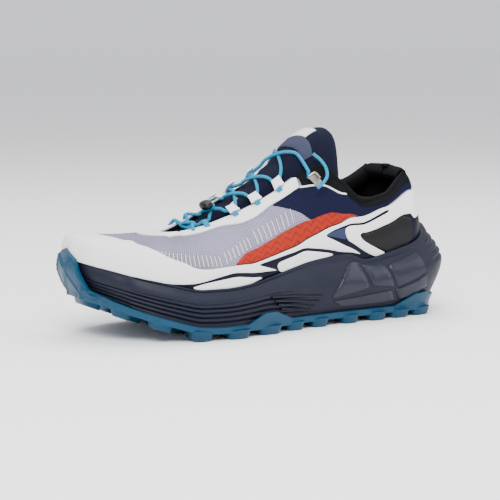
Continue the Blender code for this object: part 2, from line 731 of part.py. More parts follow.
def cord_object(name, route, diameter, count):
    """A round cord through a route, as a mesh."""
    curve = bpy.data.curves.new(name, "CURVE")
    curve.dimensions = "3D"
    curve.bevel_depth = diameter / 2
    curve.bevel_resolution = LACE_SIDES
    curve.use_fill_caps = True
    spline = curve.splines.new("POLY")
    spline.points.add(count - 1)
    for point, share in zip(spline.points, np.linspace(0, 1, count)):
        point.co = (*through(route, share), 1)
    guide = bpy.data.objects.new(name + "_guide", curve)
    bpy.context.scene.collection.objects.link(guide)
    graph = bpy.context.evaluated_depsgraph_get()
    mesh = bpy.data.meshes.new_from_object(guide.evaluated_get(graph))
    bpy.data.objects.remove(guide)
    bm = bmesh.new()
    bm.from_mesh(mesh)
    bmesh.ops.remove_doubles(bm, verts=bm.verts, dist=1e-6)
    bmesh.ops.recalc_face_normals(bm, faces=bm.faces)
    bm.to_mesh(mesh)
    bm.free()
    mesh.shade_smooth()
    return mesh


def build_laces():
    """The lowest bar and the crossings, joined where they meet at the eyelets."""
    bar = cord_object("laces", lace_route(EYELETS[0], EYELETS[0]), LACE_DIAMETER, LACE_POINTS)
    laces = bpy.data.objects.new("laces", bar)
    bpy.data.collections["trail_running_shoe"].objects.link(laces)
    for low, high in zip(EYELETS, EYELETS[1:]):
        for first, second, lift in ((low, high, 0.0), (high, low, LACE_DIAMETER * LACE_OVER)):
            cord = cord_object("lace", lace_route(first, second, lift), LACE_DIAMETER, LACE_POINTS)
            union(laces, helper("lace_cutter", cord))
    return paint(laces, CYAN, 0.6)


# Overlays, each cut from a skin a little off the upper. Corners are (way, rise).

CAGE_TOP = (
    (2.70, 0.62),
    (2.48, 0.59),
    (2.34, 0.50),
    (2.20, 0.385),
    (2.09, 0.295),
    (1.95, 0.290),
    (1.60, 0.295),
    (1.50, 0.345),
    (1.39, 0.43),
    (1.27, 0.615),
    (1.16, 0.71),
    (1.00, 0.71),
    (0.60, 0.64),
    (0.20, 0.60),
)
CAGE_FOOT = (
    (0.20, 0.34),
    (0.60, 0.32),
    (0.90, 0.32),
    (1.05, 0.44),
    (1.293, 0.355),
    (1.287, 0.285),
    (1.14, 0.085),
    (1.19, 0.08),
    (1.355, 0.265),
    (1.365, 0.37),
    (1.348, 0.41),
    (1.11, 0.60),
    (1.125, 0.645),
    (1.475, 0.31),
    (1.27, 0.125),
    (1.40, 0.155),
    (1.59, 0.245),
    (1.845, 0.24),
    (1.735, 0.12),
    (1.965, 0.215),
    (2.285, 0.11),
    (2.70, 0.09),
    (2.75, 0.20),
    (2.79, 0.40),
)
BAND_PANEL = (
    (1.955, 0.295),
    (1.895, 0.395),
    (1.705, 0.445),
    (1.53, 0.46),
    (1.42, 0.53),
    (1.355, 0.55),
    (1.27, 0.615),
    (1.39, 0.43),
    (1.50, 0.345),
    (1.60, 0.295),
)
EYESTAY_EDGE = (
    (1.555, 1.0),
    (1.555, 0.79),
    (1.60, 0.77),
    (1.69, 0.79),
    (1.78, 0.74),
    (1.85, 0.76),
    (1.92, 0.84),
    (2.05, 0.84),
    (2.40, 0.86),
)
EYESTAY_TOP = 0.985


def mirrored(corners):
    """The same corners on the medial side, in reverse, so that they follow on."""
    return [(6 - way, rise) for way, rise in corners[::-1]]


def shrink(corners, amount):
    """Moves each corner inwards along its two edges' mean, in steps of way and rise."""
    points = np.array(corners)
    before, after = np.roll(points, 1, axis=0), np.roll(points, -1, axis=0)
    area = np.sum(before[:, 0] * points[:, 1] - points[:, 0] * before[:, 1])
    edges = (points - before, after - points)
    inward = sum(np.stack([-e[:, 1], e[:, 0]], axis=1) / np.linalg.norm(e, axis=1)[:, None] for e in edges)
    inward = inward / np.maximum(np.linalg.norm(inward, axis=1)[:, None], 0.5)
    return [tuple(point) for point in points + inward * amount * np.sign(area)]


def flat_panel(corners, ways, rises):
    """A triangulated flat outline in (way, rise), cut along the upper's own columns and rows."""
    bm = bmesh.new()
    bm.faces.new([bm.verts.new((way, rise, 0)) for way, rise in corners])
    bmesh.ops.triangulate(bm, faces=bm.faces)
    for axis, cuts in ((0, ways), (1, rises)):
        for cut in cuts:
            spot, across = [0, 0, 0], [0, 0, 0]
            spot[axis], across[axis] = cut, 1
            everything = bm.verts[:] + bm.edges[:] + bm.faces[:]
            bmesh.ops.bisect_plane(bm, geom=everything, dist=1e-5, plane_co=spot, plane_no=across)
    bmesh.ops.dissolve_degenerate(bm, dist=1e-5, edges=bm.edges)
    bmesh.ops.triangulate(bm, faces=bm.faces)
    return bm


def panel(name, corners, colour, roughness):
    """A thin solid on the upper with this outline."""
    ways = sorted({round(float(way), 6) for way in np.concatenate([WAYS, WAYS + 6])})
    inside_ways = [way for way in ways if min(c[0] for c in corners) < way < max(c[0] for c in corners)]
    bm = flat_panel(corners, inside_ways, UPPER_RISES[1:-1])
    bm.verts.index_update()
    flat = np.array([vertex.co[:2] for vertex in bm.verts])
    over_rim = rise_at(UPPER_RINGS, flat[:, 0], ring("rim", flat[:, 0])[:, 2] + 2 * GAP)
    flat[:, 1] = np.maximum(flat[:, 1], over_rim)
    faces = [[vertex.index for vertex in face.verts] for face in bm.faces]
    rim = [(edge.verts[0].index, edge.verts[1].index) for edge in bm.edges if len(edge.link_faces) == 1]
    bm.free()
    skin = surface(UPPER_RINGS, flat[:, 0], flat[:, 1])
    out = normal(UPPER_RINGS, flat[:, 0], flat[:, 1])
    count = len(flat)
    points = np.concatenate([skin + out * (2 * GAP), skin + out * (2 * GAP + OVERLAY)])
    walls = [(a, b, b + count, a + count) for a, b in rim]
    solid = faces + [[i + count for i in face[::-1]] for face in faces] + walls
    return paint(face_outwards(mesh_object(name, points, solid)), colour, roughness)


BADGE = (
    (1.293, 0.355),
    (1.05, 0.44),
    (0.95, 0.27),
    (0.96, 0.12),
    (1.0, 0.09),
    (1.135, 0.085),
    (1.287, 0.285),
)
CLIP = (
    (1.515, 0.91),
    (1.485, 0.95),
    (1.45, 0.82),
    (1.48, 0.76),
)


def build_overlays():
    top, foot = CAGE_TOP[::-1], CAGE_FOOT[::-1]
    cage = list(top) + mirrored(top) + mirrored(foot) + list(foot)
    panel("cage", cage, WHITE, 0.4)
    panel("band_lateral", shrink(BAND_PANEL, 0.006), ORANGE, 0.6)
    panel("band_medial", shrink(mirrored(BAND_PANEL), 0.006), ORANGE, 0.6)
    throat = [(way, EYESTAY_TOP) for way in np.linspace(1.555, 4.445, 25)]
    panel("eyestay", list(EYESTAY_EDGE[1:]) + mirrored(EYESTAY_EDGE[1:]) + throat[::-1], WHITE, 0.45)
    panel("badge_lateral", shrink(BADGE, 0.010), BLACK, 0.35)
    panel("badge_medial", shrink(mirrored(BADGE), 0.010), BLACK, 0.35)
    panel("lace_clip", CLIP, STEEL, 0.35)


# Small pieces on the tongue and the heel

LOCK_WAY, LOCK_ACROSS, LOCK_LIFT = 1.92, 0.46, 0.0084
LOCK_SIZE = (0.0060, 0.0040, 0.0030)
LABEL_WAYS, LABEL_COLUMNS = (1.405, 1.44, 1.466), (6, 8)
LOOP_WAYS, LOOP_COLUMNS = (1.470, 1.512), (3, 9)
PLATE_THICKNESS = 0.0009
LACE_END = (
    (0.0302, -0.0225, 0.1185),
    (0.0332, -0.0270, 0.1145),
    (0.0347, -0.0315, 0.1095),
    (0.0337, -0.0350, 0.1040),
    (0.0297, -0.0365, 0.0995),
    (0.0252, -0.0360, 0.0960),
)


def plate_on_tongue(name, ways, columns, colour):
    """A thin plate that lies on the tongue's own facets."""
    across = np.linspace(0, 1, TONGUE_COLUMNS)[columns[0] : columns[1] + 1]
    rows = {way: np.array([tongue_face(way, share) for share in across]) for way in TONGUE["way"][:5]}
    known = sorted(rows)
    grid = []
    for way in ways:
        above = next(i for i, row in enumerate(known) if row >= way)
        low, high = known[above - 1], known[above]
        grid.append(between(rows[low], rows[high], (way - low) / (high - low)))
    grid = np.array(grid)
    out = np.cross(grid[1] - grid[0], np.gradient(grid[0], axis=0))
    out = out / np.linalg.norm(out, axis=1, keepdims=True)
    out = out * np.sign(out[:, 2:3])
    paint(slab(name, grid + out * (2 * GAP + PLATE_THICKNESS), grid + out * (2 * GAP)), colour, 0.7)


def build_cord_lock():
    """A rounded body that stands on the crossing below it."""
    centre = tongue_face(LOCK_WAY, LOCK_ACROSS)
    up = tongue_normal(LOCK_WAY, LOCK_ACROSS)
    along = tongue_face(LOCK_WAY - 0.02, LOCK_ACROSS) - centre
    along = along - up * (along @ up)
    along = along / np.linalg.norm(along)
    over = np.cross(up, along)
    bm = bmesh.new()
    bmesh.ops.create_uvsphere(bm, u_segments=14, v_segments=8, radius=1.0)
    for vertex in bm.verts:
        flat = np.array(vertex.co)
        flat = np.sign(flat) * np.abs(flat) ** 0.8 * LOCK_SIZE
        vertex.co = centre + up * LOCK_LIFT + over * flat[0] + along * flat[1] + up * flat[2]
    mesh = bpy.data.meshes.new("cord_lock")
    bm.to_mesh(mesh)
    bm.free()
    lock = bpy.data.objects.new("cord_lock", mesh)
    bpy.data.collections["trail_running_shoe"].objects.link(lock)
    paint(face_outwards(lock), BLACK, 0.4)


def build_pull_tab():
    ways = np.array([-0.07, -0.035, 0.0, 0.035, 0.07])
    rows = [surface(UPPER_RINGS, ways % 6, rise) for rise in (0.84, 0.92, 1.0)]
    rows.append(rows[-1] + (0.0003, 0, PULL_TAB_HEIGHT))
    out = normal(UPPER_RINGS, ways % 6, 0.9) * (1, 1, 0)
    out = out / np.linalg.norm(out, axis=1, keepdims=True)
    grid = np.array(rows)
    paint(slab("pull_tab", grid + out * (3 * GAP + OVERLAY), grid + out * (3 * GAP)), BLACK, 0.8)


def build_lace_end():
    cord = cord_object("lace_end", [np.array(point) for point in LACE_END], LACE_DIAMETER, 10)
    end = bpy.data.objects.new("lace_end", cord)
    bpy.data.collections["trail_running_shoe"].objects.link(end)
    paint(end, CYAN, 0.6)


def build_small_pieces():
    plate_on_tongue("tongue_label", LABEL_WAYS, LABEL_COLUMNS, WHITE)
    plate_on_tongue("tongue_band", LOOP_WAYS, LOOP_COLUMNS, STEEL)
    build_cord_lock()
    build_pull_tab()
    build_lace_end()


def build_all():
    build_midsole()
    build_outsole()
    build_upper()
    build_insole()
    build_tongue()
    build_laces()
    build_overlays()
    build_small_pieces()


def main():
    for obj in list(bpy.data.objects):
        bpy.data.objects.remove(obj)
    for name in ("trail_running_shoe", "cutters"):
        bpy.context.scene.collection.children.link(bpy.data.collections.new(name))
    build_all()


if __name__ == "__main__":
    main()
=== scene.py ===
"""The looks of a trail running shoe for the left foot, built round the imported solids.

A place on the shoe is given by way, which runs round it (0 heel end, 1 heel centre, 2 toe centre,
3 toe end on the lateral side, then 4, 5 and 6 back along the medial side), and by rise, which runs up
it through named rings. All sizes are metres.
"""

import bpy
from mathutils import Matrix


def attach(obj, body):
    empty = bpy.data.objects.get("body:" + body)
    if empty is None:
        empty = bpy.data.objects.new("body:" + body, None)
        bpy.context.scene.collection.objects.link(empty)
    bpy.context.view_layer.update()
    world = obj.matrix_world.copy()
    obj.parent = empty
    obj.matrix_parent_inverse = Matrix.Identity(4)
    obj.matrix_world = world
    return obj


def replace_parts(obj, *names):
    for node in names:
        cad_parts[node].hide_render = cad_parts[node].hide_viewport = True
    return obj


bl_info = {
    "name": "Trail running shoe",
    "version": (1, 0, 0),
    "blender": (4, 5, 0),
    "location": "View3D > Sidebar > Shoe",
    "description": "Builds the finished surfaces of a trail running shoe round its packed solids",
    "category": "Object",
}

import bmesh
import bpy
import numpy as np
from mathutils import Vector
from mathutils.geometry import delaunay_2d_cdt

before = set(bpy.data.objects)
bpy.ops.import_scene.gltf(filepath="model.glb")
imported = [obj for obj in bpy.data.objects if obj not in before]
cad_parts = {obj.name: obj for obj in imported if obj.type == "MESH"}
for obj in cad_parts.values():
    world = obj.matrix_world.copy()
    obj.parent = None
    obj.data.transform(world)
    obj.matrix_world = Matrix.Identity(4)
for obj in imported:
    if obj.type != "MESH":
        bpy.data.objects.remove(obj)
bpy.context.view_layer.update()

# Driving sizes
LENGTH = 0.306
BALL_WIDTH = 0.110
RIM_HEIGHT = 0.066
INSTEP_RISE = 0.070
TONGUE_HEIGHT = 0.1355
LUG_HEIGHT = 0.0045
PLATE = 0.0028
BAND = 0.0018
BUMPER_THICKNESS = 0.0030
BUMPER_CLEARANCE = 0.0007
WALL = 0.0022
COLLAR_PAD = 0.0070
TONGUE_THICKNESS = 0.0085
LEDGE_DEPTH = 0.0016
LACE_DIAMETER = 0.0024
PULL_TAB_HEIGHT = 0.0015
GAP = 0.0003

HEEL_CENTRE = 0.17
TOE_CENTRE = 0.69
HEEL_ROUND = 2.2
TOE_ROUND = {"lateral": 2.05, "medial": 2.4}


def table(names, *rows):
    """Named columns from rows of numbers."""
    return dict(zip(names.split(), np.array(rows, float).T))


# Half widths, as shares of half the ball width
WIDTHS = {
    "lateral": table(
        "station bottom flare rim feather belly shoulder crown topline",
        (0.17, 0.64, 0.84, 0.64, 0.59, 0.62, 0.59, 0.54, 0.46),
        (0.23, 0.65, 0.82, 0.64, 0.59, 0.64, 0.61, 0.58, 0.54),
        (0.29, 0.66, 0.80, 0.64, 0.59, 0.65, 0.61, 0.58, 0.56),
        (0.36, 0.66, 0.78, 0.65, 0.60, 0.66, 0.60, 0.55, 0.51),
        (0.44, 0.68, 0.78, 0.68, 0.63, 0.67, 0.58, 0.46, 0.37),
        (0.50, 0.73, 0.83, 0.73, 0.68, 0.71, 0.60, 0.43, 0.29),
        (0.57, 0.83, 0.91, 0.83, 0.78, 0.81, 0.68, 0.46, 0.26),
        (0.63, 0.89, 0.97, 0.89, 0.84, 0.87, 0.74, 0.48, 0.23),
        (0.69, 0.92, 1.00, 0.92, 0.87, 0.90, 0.76, 0.47, 0.19),
    ),
    "medial": table(
        "station bottom flare rim feather belly shoulder crown topline",
        (0.17, 0.62, 0.82, 0.62, 0.57, 0.60, 0.57, 0.52, 0.46),
        (0.23, 0.60, 0.79, 0.61, 0.56, 0.61, 0.59, 0.57, 0.53),
        (0.29, 0.57, 0.74, 0.60, 0.55, 0.60, 0.59, 0.58, 0.55),
        (0.36, 0.54, 0.70, 0.59, 0.54, 0.58, 0.58, 0.56, 0.53),
        (0.44, 0.55, 0.70, 0.61, 0.56, 0.59, 0.58, 0.53, 0.45),
        (0.50, 0.62, 0.75, 0.67, 0.62, 0.65, 0.61, 0.52, 0.39),
        (0.57, 0.76, 0.87, 0.79, 0.74, 0.76, 0.67, 0.51, 0.33),
        (0.63, 0.86, 0.95, 0.88, 0.83, 0.85, 0.72, 0.50, 0.27),
        (0.69, 0.90, 0.99, 0.92, 0.87, 0.89, 0.74, 0.47, 0.20),
    ),
}
# How far each ring reaches behind the heel centre and ahead of the toe centre, as shares of the length
BACK = {
    "bottom": 0.095,
    "flare": 0.129,
    "rim": 0.082,
    "feather": 0.072,
    "belly": 0.060,
    "shoulder": 0.042,
    "crown": 0.033,
    "topline": 0.014,
}
FRONT = {
    "bottom": 0.266,
    "flare": 0.284,
    "rim": 0.285,
    "feather": 0.280,
    "belly": 0.284,
    "shoulder": 0.266,
    "crown": 0.170,
    "topline": 0.065,
}
# Heights of the sole's rings, as shares of the rim height
SOLE_HEIGHTS = table(
    "station ground flare rim feather",
    (0.00, 0.050, 0.62, 1.00, 0.91),
    (0.08, 0.010, 0.60, 1.00, 0.91),
    (0.13, 0.000, 0.56, 0.87, 0.78),
    (0.17, 0.000, 0.52, 0.80, 0.70),
    (0.24, 0.000, 0.46, 0.72, 0.62),
    (0.30, 0.000, 0.43, 0.67, 0.58),
    (0.35, 0.000, 0.42, 0.74, 0.61),
    (0.40, 0.000, 0.42, 0.735, 0.61),
    (0.46, 0.000, 0.42, 0.70, 0.59),
    (0.51, 0.000, 0.43, 0.65, 0.56),
    (0.57, 0.000, 0.43, 0.595, 0.515),
    (0.63, 0.000, 0.40, 0.54, 0.47),
    (0.69, 0.000, 0.38, 0.52, 0.455),
    (0.74, 0.010, 0.38, 0.52, 0.455),
    (0.81, 0.095, 0.44, 0.59, 0.515),
    (0.88, 0.205, 0.53, 0.675, 0.59),
    (0.94, 0.320, 0.62, 0.76, 0.665),
    (1.00, 0.430, 0.70, 0.83, 0.74),
)
# Heights of the upper's rings above its feather edge, as shares of the instep rise
UPPER_HEIGHTS = table(
    "station belly shoulder crown topline medial_lift",
    (0.00, 0.20, 0.38, 0.54, 0.70, 0.00),
    (0.08, 0.20, 0.38, 0.54, 0.70, 0.00),
    (0.13, 0.27, 0.48, 0.67, 0.83, 0.00),
    (0.17, 0.27, 0.48, 0.65, 0.79, 0.02),
    (0.24, 0.26, 0.44, 0.57, 0.65, 0.08),
    (0.30, 0.26, 0.44, 0.58, 0.67, 0.12),
    (0.35, 0.25, 0.47, 0.68, 0.82, 0.10),
    (0.40, 0.26, 0.52, 0.79, 0.98, 0.04),
    (0.46, 0.26, 0.54, 0.78, 0.92, 0.03),
    (0.51, 0.24, 0.50, 0.70, 0.80, 0.06),
    (0.57, 0.24, 0.46, 0.63, 0.71, 0.07),
    (0.63, 0.24, 0.44, 0.58, 0.65, 0.06),
    (0.69, 0.23, 0.41, 0.53, 0.58, 0.03),
    (0.74, 0.21, 0.40, 0.50, 0.535, 0.00),
    (0.81, 0.17, 0.35, 0.455, 0.49, 0.00),
    (0.88, 0.17, 0.33, 0.41, 0.43, 0.00),
    (0.94, 0.18, 0.33, 0.37, 0.38, 0.00),
    (1.00, 0.18, 0.34, 0.36, 0.36, 0.00),
)
# The last's curve: how far its centre line lies towards the medial side, as shares of the ball width
CURVE = table(
    "station shift",
    (0.0, 0.0),
    (0.29, -0.01),
    (0.44, -0.02),
    (0.57, -0.01),
    (0.69, 0.0),
    (0.78, 0.015),
    (0.90, 0.045),
    (1.0, 0.07),
)
SOLE_RINGS = ("bottom", "flare", "rim")
UPPER_RINGS = ("feather", "belly", "shoulder", "crown", "topline")


def smooth(xs, ys, x):
    """A monotone cubic through a short row of values, flat past its ends."""
    width = np.diff(xs)
    slope = np.diff(ys) / width
    both = slope[:-1] * slope[1:] > 0
    left, right = 2 * width[1:] + width[:-1], width[1:] + 2 * width[:-1]
    ends = np.where(both, slope[:-1], 1.0), np.where(both, slope[1:], 1.0)
    tangent = np.zeros(len(xs))
    tangent[1:-1] = np.where(both, (left + right) / (left / ends[0] + right / ends[1]), 0.0)
    i = np.clip(np.searchsorted(xs, x, side="right") - 1, 0, len(xs) - 2)
    t = np.clip((x - xs[i]) / width[i], 0, 1)
    from_left = (1 + 2 * t) * (1 - t) ** 2 * ys[i] + t * (1 - t) ** 2 * width[i] * tangent[i]
    return from_left + t * t * (3 - 2 * t) * ys[i + 1] + t * t * (t - 1) * width[i] * tangent[i + 1]


def sole_share(name, station):
    """A sole height at one station, as a share of the rim's height."""
    return smooth(SOLE_HEIGHTS["station"], SOLE_HEIGHTS[name], station)


def ground(station):
    """The height of the lugs' feet, which leave the floor at the toe and the heel's edge."""
    return RIM_HEIGHT * sole_share("ground", station)


def ring_height(name, station, medial):
    """How high one ring of the shoe stands at one station."""
    if name == "bottom":
        return ground(station) + LUG_HEIGHT + PLATE + GAP
    if name in SOLE_HEIGHTS:
        return RIM_HEIGHT * sole_share(name, station)
    share = smooth(UPPER_HEIGHTS["station"], UPPER_HEIGHTS[name], station)
    if name == "topline":
        share = share + medial * smooth(UPPER_HEIGHTS["station"], UPPER_HEIGHTS["medial_lift"], station)
    return RIM_HEIGHT * sole_share("feather", station) + INSTEP_RISE * share


def ring_on_side(name, side, way, grow):
    """Points of one ring on one side, for way from 0 to 3, with the ring grown outwards."""
    half = smooth(
        WIDTHS[side]["station"],
        WIDTHS[side][name] * BALL_WIDTH / 2,
        HEEL_CENTRE + (TOE_CENTRE - HEEL_CENTRE) * np.clip(way - 1, 0, 1),
    )
    half = half + grow
    heel = np.clip(way, 0, 1) * np.pi / 2
    toe = np.clip(way - 2, 0, 1) * np.pi / 2
    toe_round = TOE_ROUND[side]
    station = HEEL_CENTRE + (TOE_CENTRE - HEEL_CENTRE) * np.clip(way - 1, 0, 1)
    station = station - (BACK[name] + grow / LENGTH) * np.cos(heel).clip(0, 1) ** (2 / HEEL_ROUND) * (way < 1)
    station = station + (FRONT[name] + grow / LENGTH) * np.sin(toe) ** (2 / toe_round) * (way > 2)
    half = half * np.sin(heel) ** (2 / HEEL_ROUND) * np.cos(toe).clip(0, 1) ** (2 / toe_round)
    sign = -1 if side == "lateral" else 1
    bend = smooth(CURVE["station"], CURVE["shift"], station) * BALL_WIDTH
    height = ring_height(name, station.clip(0, 1), side == "medial")
    return np.stack([-LENGTH * station, bend + sign * half, height], axis=-1)


def ring(name, way, grow=0.0):
    """Points of one ring, for any way: 0 to 3 is lateral, and 3 to 6 comes back along the medial side."""
    way = np.asarray(way, float) % 6
    lateral = ring_on_side(name, "lateral", way.clip(0, 3), grow)
    medial = ring_on_side(name, "medial", (6 - way).clip(0, 3), grow)
    return np.where((way <= 3)[..., None], lateral, medial) + PLACE


def centre_of_outline():
    """How far the shoe moves so that its box is centred on the origin, seen from above."""
    outline = ring("flare", np.linspace(0, 6, 361))
    low, high = outline.min(axis=0), outline.max(axis=0)
    low[0] -= BUMPER_THICKNESS + BUMPER_CLEARANCE
    middle = (low + high) / 2
    return -np.array([middle[0], middle[1], 0.0])


# The outline is measured before the shoe is moved
PLACE = np.zeros(3)
PLACE = centre_of_outline()
MIDDLE_X = PLACE[0] - 0.5 * LENGTH


def surface(rings, way, rise, grow=0.0):
    """Points on the smooth skin through some rings, with rise from 0 at the first to 1 at the last."""
    way, rise = np.broadcast_arrays(np.asarray(way, float), np.asarray(rise, float))
    points = np.stack([ring(name, way, grow) for name in rings])
    first, last = 2 * points[0] - points[1], 2 * points[-1] - points[-2]
    points = np.concatenate([first[None], points, last[None]])
    spot = rise.clip(0, 1) * (len(rings) - 1)
    i = np.minimum(np.floor(spot).astype(int), len(rings) - 2)
    f = (spot - i)[..., None]
    a, b, c, d = (np.take_along_axis(points, (i + k)[None, ..., None], axis=0)[0] for k in range(4))
    return 0.5 * (2 * b + (c - a) * f + (2 * a - 5 * b + 4 * c - d) * f**2 + (3 * b - a - 3 * c + d) * f**3)


def normal(rings, way, rise):
    """Unit vectors out of the skin."""
    step = 0.004
    across = surface(rings, way + step, rise) - surface(rings, way - step, rise)
    up = surface(rings, way, np.minimum(rise + step, 1)) - surface(rings, way, np.maximum(rise - step, 0))
    out = np.cross(up, across)
    return out / np.maximum(np.linalg.norm(out, axis=-1, keepdims=True), 1e-12)


def rise_at(rings, way, height, grow=0.0):
    """Where a skin reaches a height, found by halving."""
    low, high = np.zeros(np.shape(way)), np.ones(np.shape(way))
    for _ in range(24):
        middle = (low + high) / 2
        below = surface(rings, way, middle, grow)[..., 2] < height
        low, high = np.where(below, middle, low), np.where(below, high, middle)
    return (low + high) / 2


# Colours, as linear red, green and blue

TEAL = (0.0010, 0.040, 0.085)
MIDSOLE = (0.0035, 0.0048, 0.0150)
WHITE = (0.780, 0.780, 0.770)
LILAC = (0.290, 0.270, 0.390)
LILAC_SHADE = (0.220, 0.210, 0.290)
ORANGE = (0.300, 0.010, 0.0004)
CYAN = (0.005, 0.290, 0.520)
BLACK = (0.0024, 0.0026, 0.0036)
STEEL = (0.330, 0.300, 0.270)
UNDERLAY = (0.0030, 0.0040, 0.0130)
QUARTER = (0.0045, 0.0052, 0.0220)
TONGUE_NAVY = (0.0040, 0.0050, 0.0170)
BADGE_BLACK = (0.0020, 0.0021, 0.0028)
FACET_GREY = (0.013, 0.014, 0.026)
RIBBON = (0.040, 0.046, 0.080)
SLATE = (0.030, 0.038, 0.085)
CREAM = (0.560, 0.540, 0.480)


def between(start, end, share):
    """A value or point part of the way from start to end."""
    return start + (end - start) * share


def unit(vectors):
    """The same directions, each of length 1."""
    return vectors / np.linalg.norm(vectors, axis=-1, keepdims=True)


def grid_uv(across, up):
    """A grid of uv pairs, from the values across its columns and up its rows."""
    return np.stack(np.broadcast_arrays(np.asarray(across)[None, :], np.asarray(up)[:, None]), axis=-1)


def fade(value, low, high):
    """0 below low, 1 above high and a soft step between them."""
    share = np.clip((value - low) / (high - low), 0, 1)
    return share * share * (3 - 2 * share)


BUMPER_BACK, BUMPER_FRONT = 2.55, 2.80
BUMPER_SEAT = 0.0020
TAB_RISE = 0.0085
RIM_BLEND = 0.004
BAND_TOPS = table(
    "way share",
    (0.00, 0.60),
    (0.60, 0.70),
    (0.82, 1.20),
    (1.00, 1.10),
    (1.10, 0.15),
    (1.66, 0.15),
    (1.76, 0.95),
    (1.82, 0.95),
    (1.90, 0.15),
    (2.40, 0.15),
    (2.62, 0.30),
    (2.80, 0.65),
    (2.87, 2.80),
    (3.00, 3.45),
)
# Lugs: place across from -1 lateral to 1 medial, sizes as shares of the ball width, turn in degrees
LUGS = table(
    "station across long wide turn",
    (0.106, -0.30, 0.13, 0.13, 25),
    (0.106, 0.30, 0.13, 0.13, -25),
    (0.138, -0.84, 0.14, 0.16, 8),
    (0.138, 0.84, 0.14, 0.16, -8),
    (0.168, 0.00, 0.13, 0.16, 0),
    (0.202, -0.86, 0.14, 0.16, 0),
    (0.202, 0.86, 0.14, 0.16, 0),
    (0.235, -0.28, 0.12, 0.14, -20),
    (0.235, 0.28, 0.12, 0.14, 20),
    (0.268, -0.88, 0.13, 0.14, 0),
    (0.268, 0.88, 0.13, 0.14, 0),
    (0.345, -0.88, 0.12, 0.13, 0),
    (0.345, 0.86, 0.12, 0.12, 0),
    (0.345, 0.00, 0.10, 0.16, 0),
    (0.430, -0.88, 0.12, 0.13, 0),
    (0.430, 0.86, 0.12, 0.12, 0),
    (0.500, -0.88, 0.12, 0.14, 0),
    (0.500, 0.86, 0.12, 0.13, 0),
    (0.500, 0.00, 0.11, 0.18, 0),
    (0.575, -0.88, 0.16, 0.16, 0),
    (0.575, 0.88, 0.16, 0.16, 0),
    (0.600, -0.30, 0.12, 0.16, 22),
    (0.600, 0.30, 0.12, 0.16, -22),
    (0.660, -0.90, 0.15, 0.16, 0),
    (0.660, 0.90, 0.15, 0.16, 0),
    (0.680, -0.30, 0.12, 0.16, 22),
    (0.680, 0.30, 0.12, 0.16, -22),
    (0.745, -0.88, 0.14, 0.16, -4),
    (0.745, 0.90, 0.14, 0.16, 4),
    (0.760, -0.30, 0.12, 0.16, 22),
    (0.760, 0.30, 0.12, 0.16, -22),
    (0.825, -0.84, 0.13, 0.15, -10),
    (0.825, 0.88, 0.13, 0.15, 8),
    (0.840, 0.00, 0.12, 0.20, 0),
    (0.895, -0.74, 0.12, 0.15, -24),
    (0.895, 0.82, 0.12, 0.15, 18),
    (0.930, 0.05, 0.12, 0.20, 0),
)


def band_side(share):
    """A loop just off the side of the sole and, at the toe, of the upper, a share of the way up the band."""
    grow = between(GAP, BUMPER_CLEARANCE, fade(SOLE_SIDE, BUMPER_BACK, BUMPER_FRONT))
    low = ring("bottom", SOLE_WAYS)[:, 2]
    top = low + TAB_RISE * np.interp(SOLE_SIDE, BAND_TOPS["way"], BAND_TOPS["share"])
    height = between(low, top, share)
    on_sole = surface(SOLE_RINGS, SOLE_WAYS, rise_at(SOLE_RINGS, SOLE_WAYS, height, grow), grow)
    on_upper = surface(UPPER_RINGS, SOLE_WAYS, rise_at(UPPER_RINGS, SOLE_WAYS, height, grow), grow)
    above_rim = ((height - ring("rim", SOLE_WAYS)[:, 2]) / RIM_BLEND).clip(0, 1)
    loop = between(on_sole, on_upper, above_rim[:, None])
    loop[:, 2] = height
    return loop


PAD_FRONT = 1.55


def wall_at(side_way, rise):
    """The wall's thickness, which grows to the pad at the collar."""
    padded = fade(rise, 0.62, 0.90) * (1 - fade(side_way, PAD_FRONT - 0.18, PAD_FRONT))
    return WALL + (COLLAR_PAD - WALL) * padded


def inside(way, rise, clear=0.0):
    """Points on the upper's lining, or clear of it inwards."""
    way = np.asarray(way, float)
    depth = wall_at(np.where(way <= 3, way, 6 - way), rise) + clear
    return surface(UPPER_RINGS, way, rise) - normal(UPPER_RINGS, way, rise) * np.asarray(depth)[..., None]


# Crown height above the floor as a share of the tongue's height, thickness as a share of its full one
TONGUE = table(
    "way crown thickness edge hem",
    (1.345, 1.000, 0.90, 1.00, 0.86),
    (1.385, 0.998, 1.00, 1.00, 0.86),
    (1.44, 0.978, 1.00, 1.00, 0.86),
    (1.50, 0.922, 0.92, 1.00, 0.86),
    (1.56, 0.855, 0.80, 1.00, 0.86),
    (1.63, 0.780, 0.68, 1.00, 0.86),
    (1.72, 0.700, 0.52, 1.00, 0.86),
    (1.82, 0.630, 0.42, 1.00, 0.86),
    (1.92, 0.570, 0.34, 1.00, 0.85),
    (2.00, 0.536, 0.30, 1.00, 0.84),
    (2.22, 0.490, 0.26, 1.00, 0.80),
    (2.36, 0.470, 0.25, 0.91, 0.73),
    (2.46, 0.458, 0.24, 0.83, 0.66),
    (2.78, 0.440, 0.22, 0.74, 0.52),
)
TONGUE_CLEARANCE = 0.0010
PAST_EDGE = 0.0028
SHOULDER_OUT, SHOULDER_UP = 0.72, 0.80


def through(points, share):
    """A point on the smooth curve through some points, for a share of the way along them."""
    points = np.asarray(points, float)
    ends = 2 * points[0] - points[1], 2 * points[-1] - points[-2]
    points = np.concatenate([ends[0][None], points, ends[1][None]])
    spot = np.clip(share, 0, 1) * (len(points) - 3)
    i = int(min(np.floor(spot), len(points) - 4))
    f = spot - i
    a, b, c, d = points[i : i + 4]
    return 0.5 * (2 * b + (c - a) * f + (2 * a - 5 * b + 4 * c - d) * f**2 + (3 * b - a - 3 * c + d) * f**3)


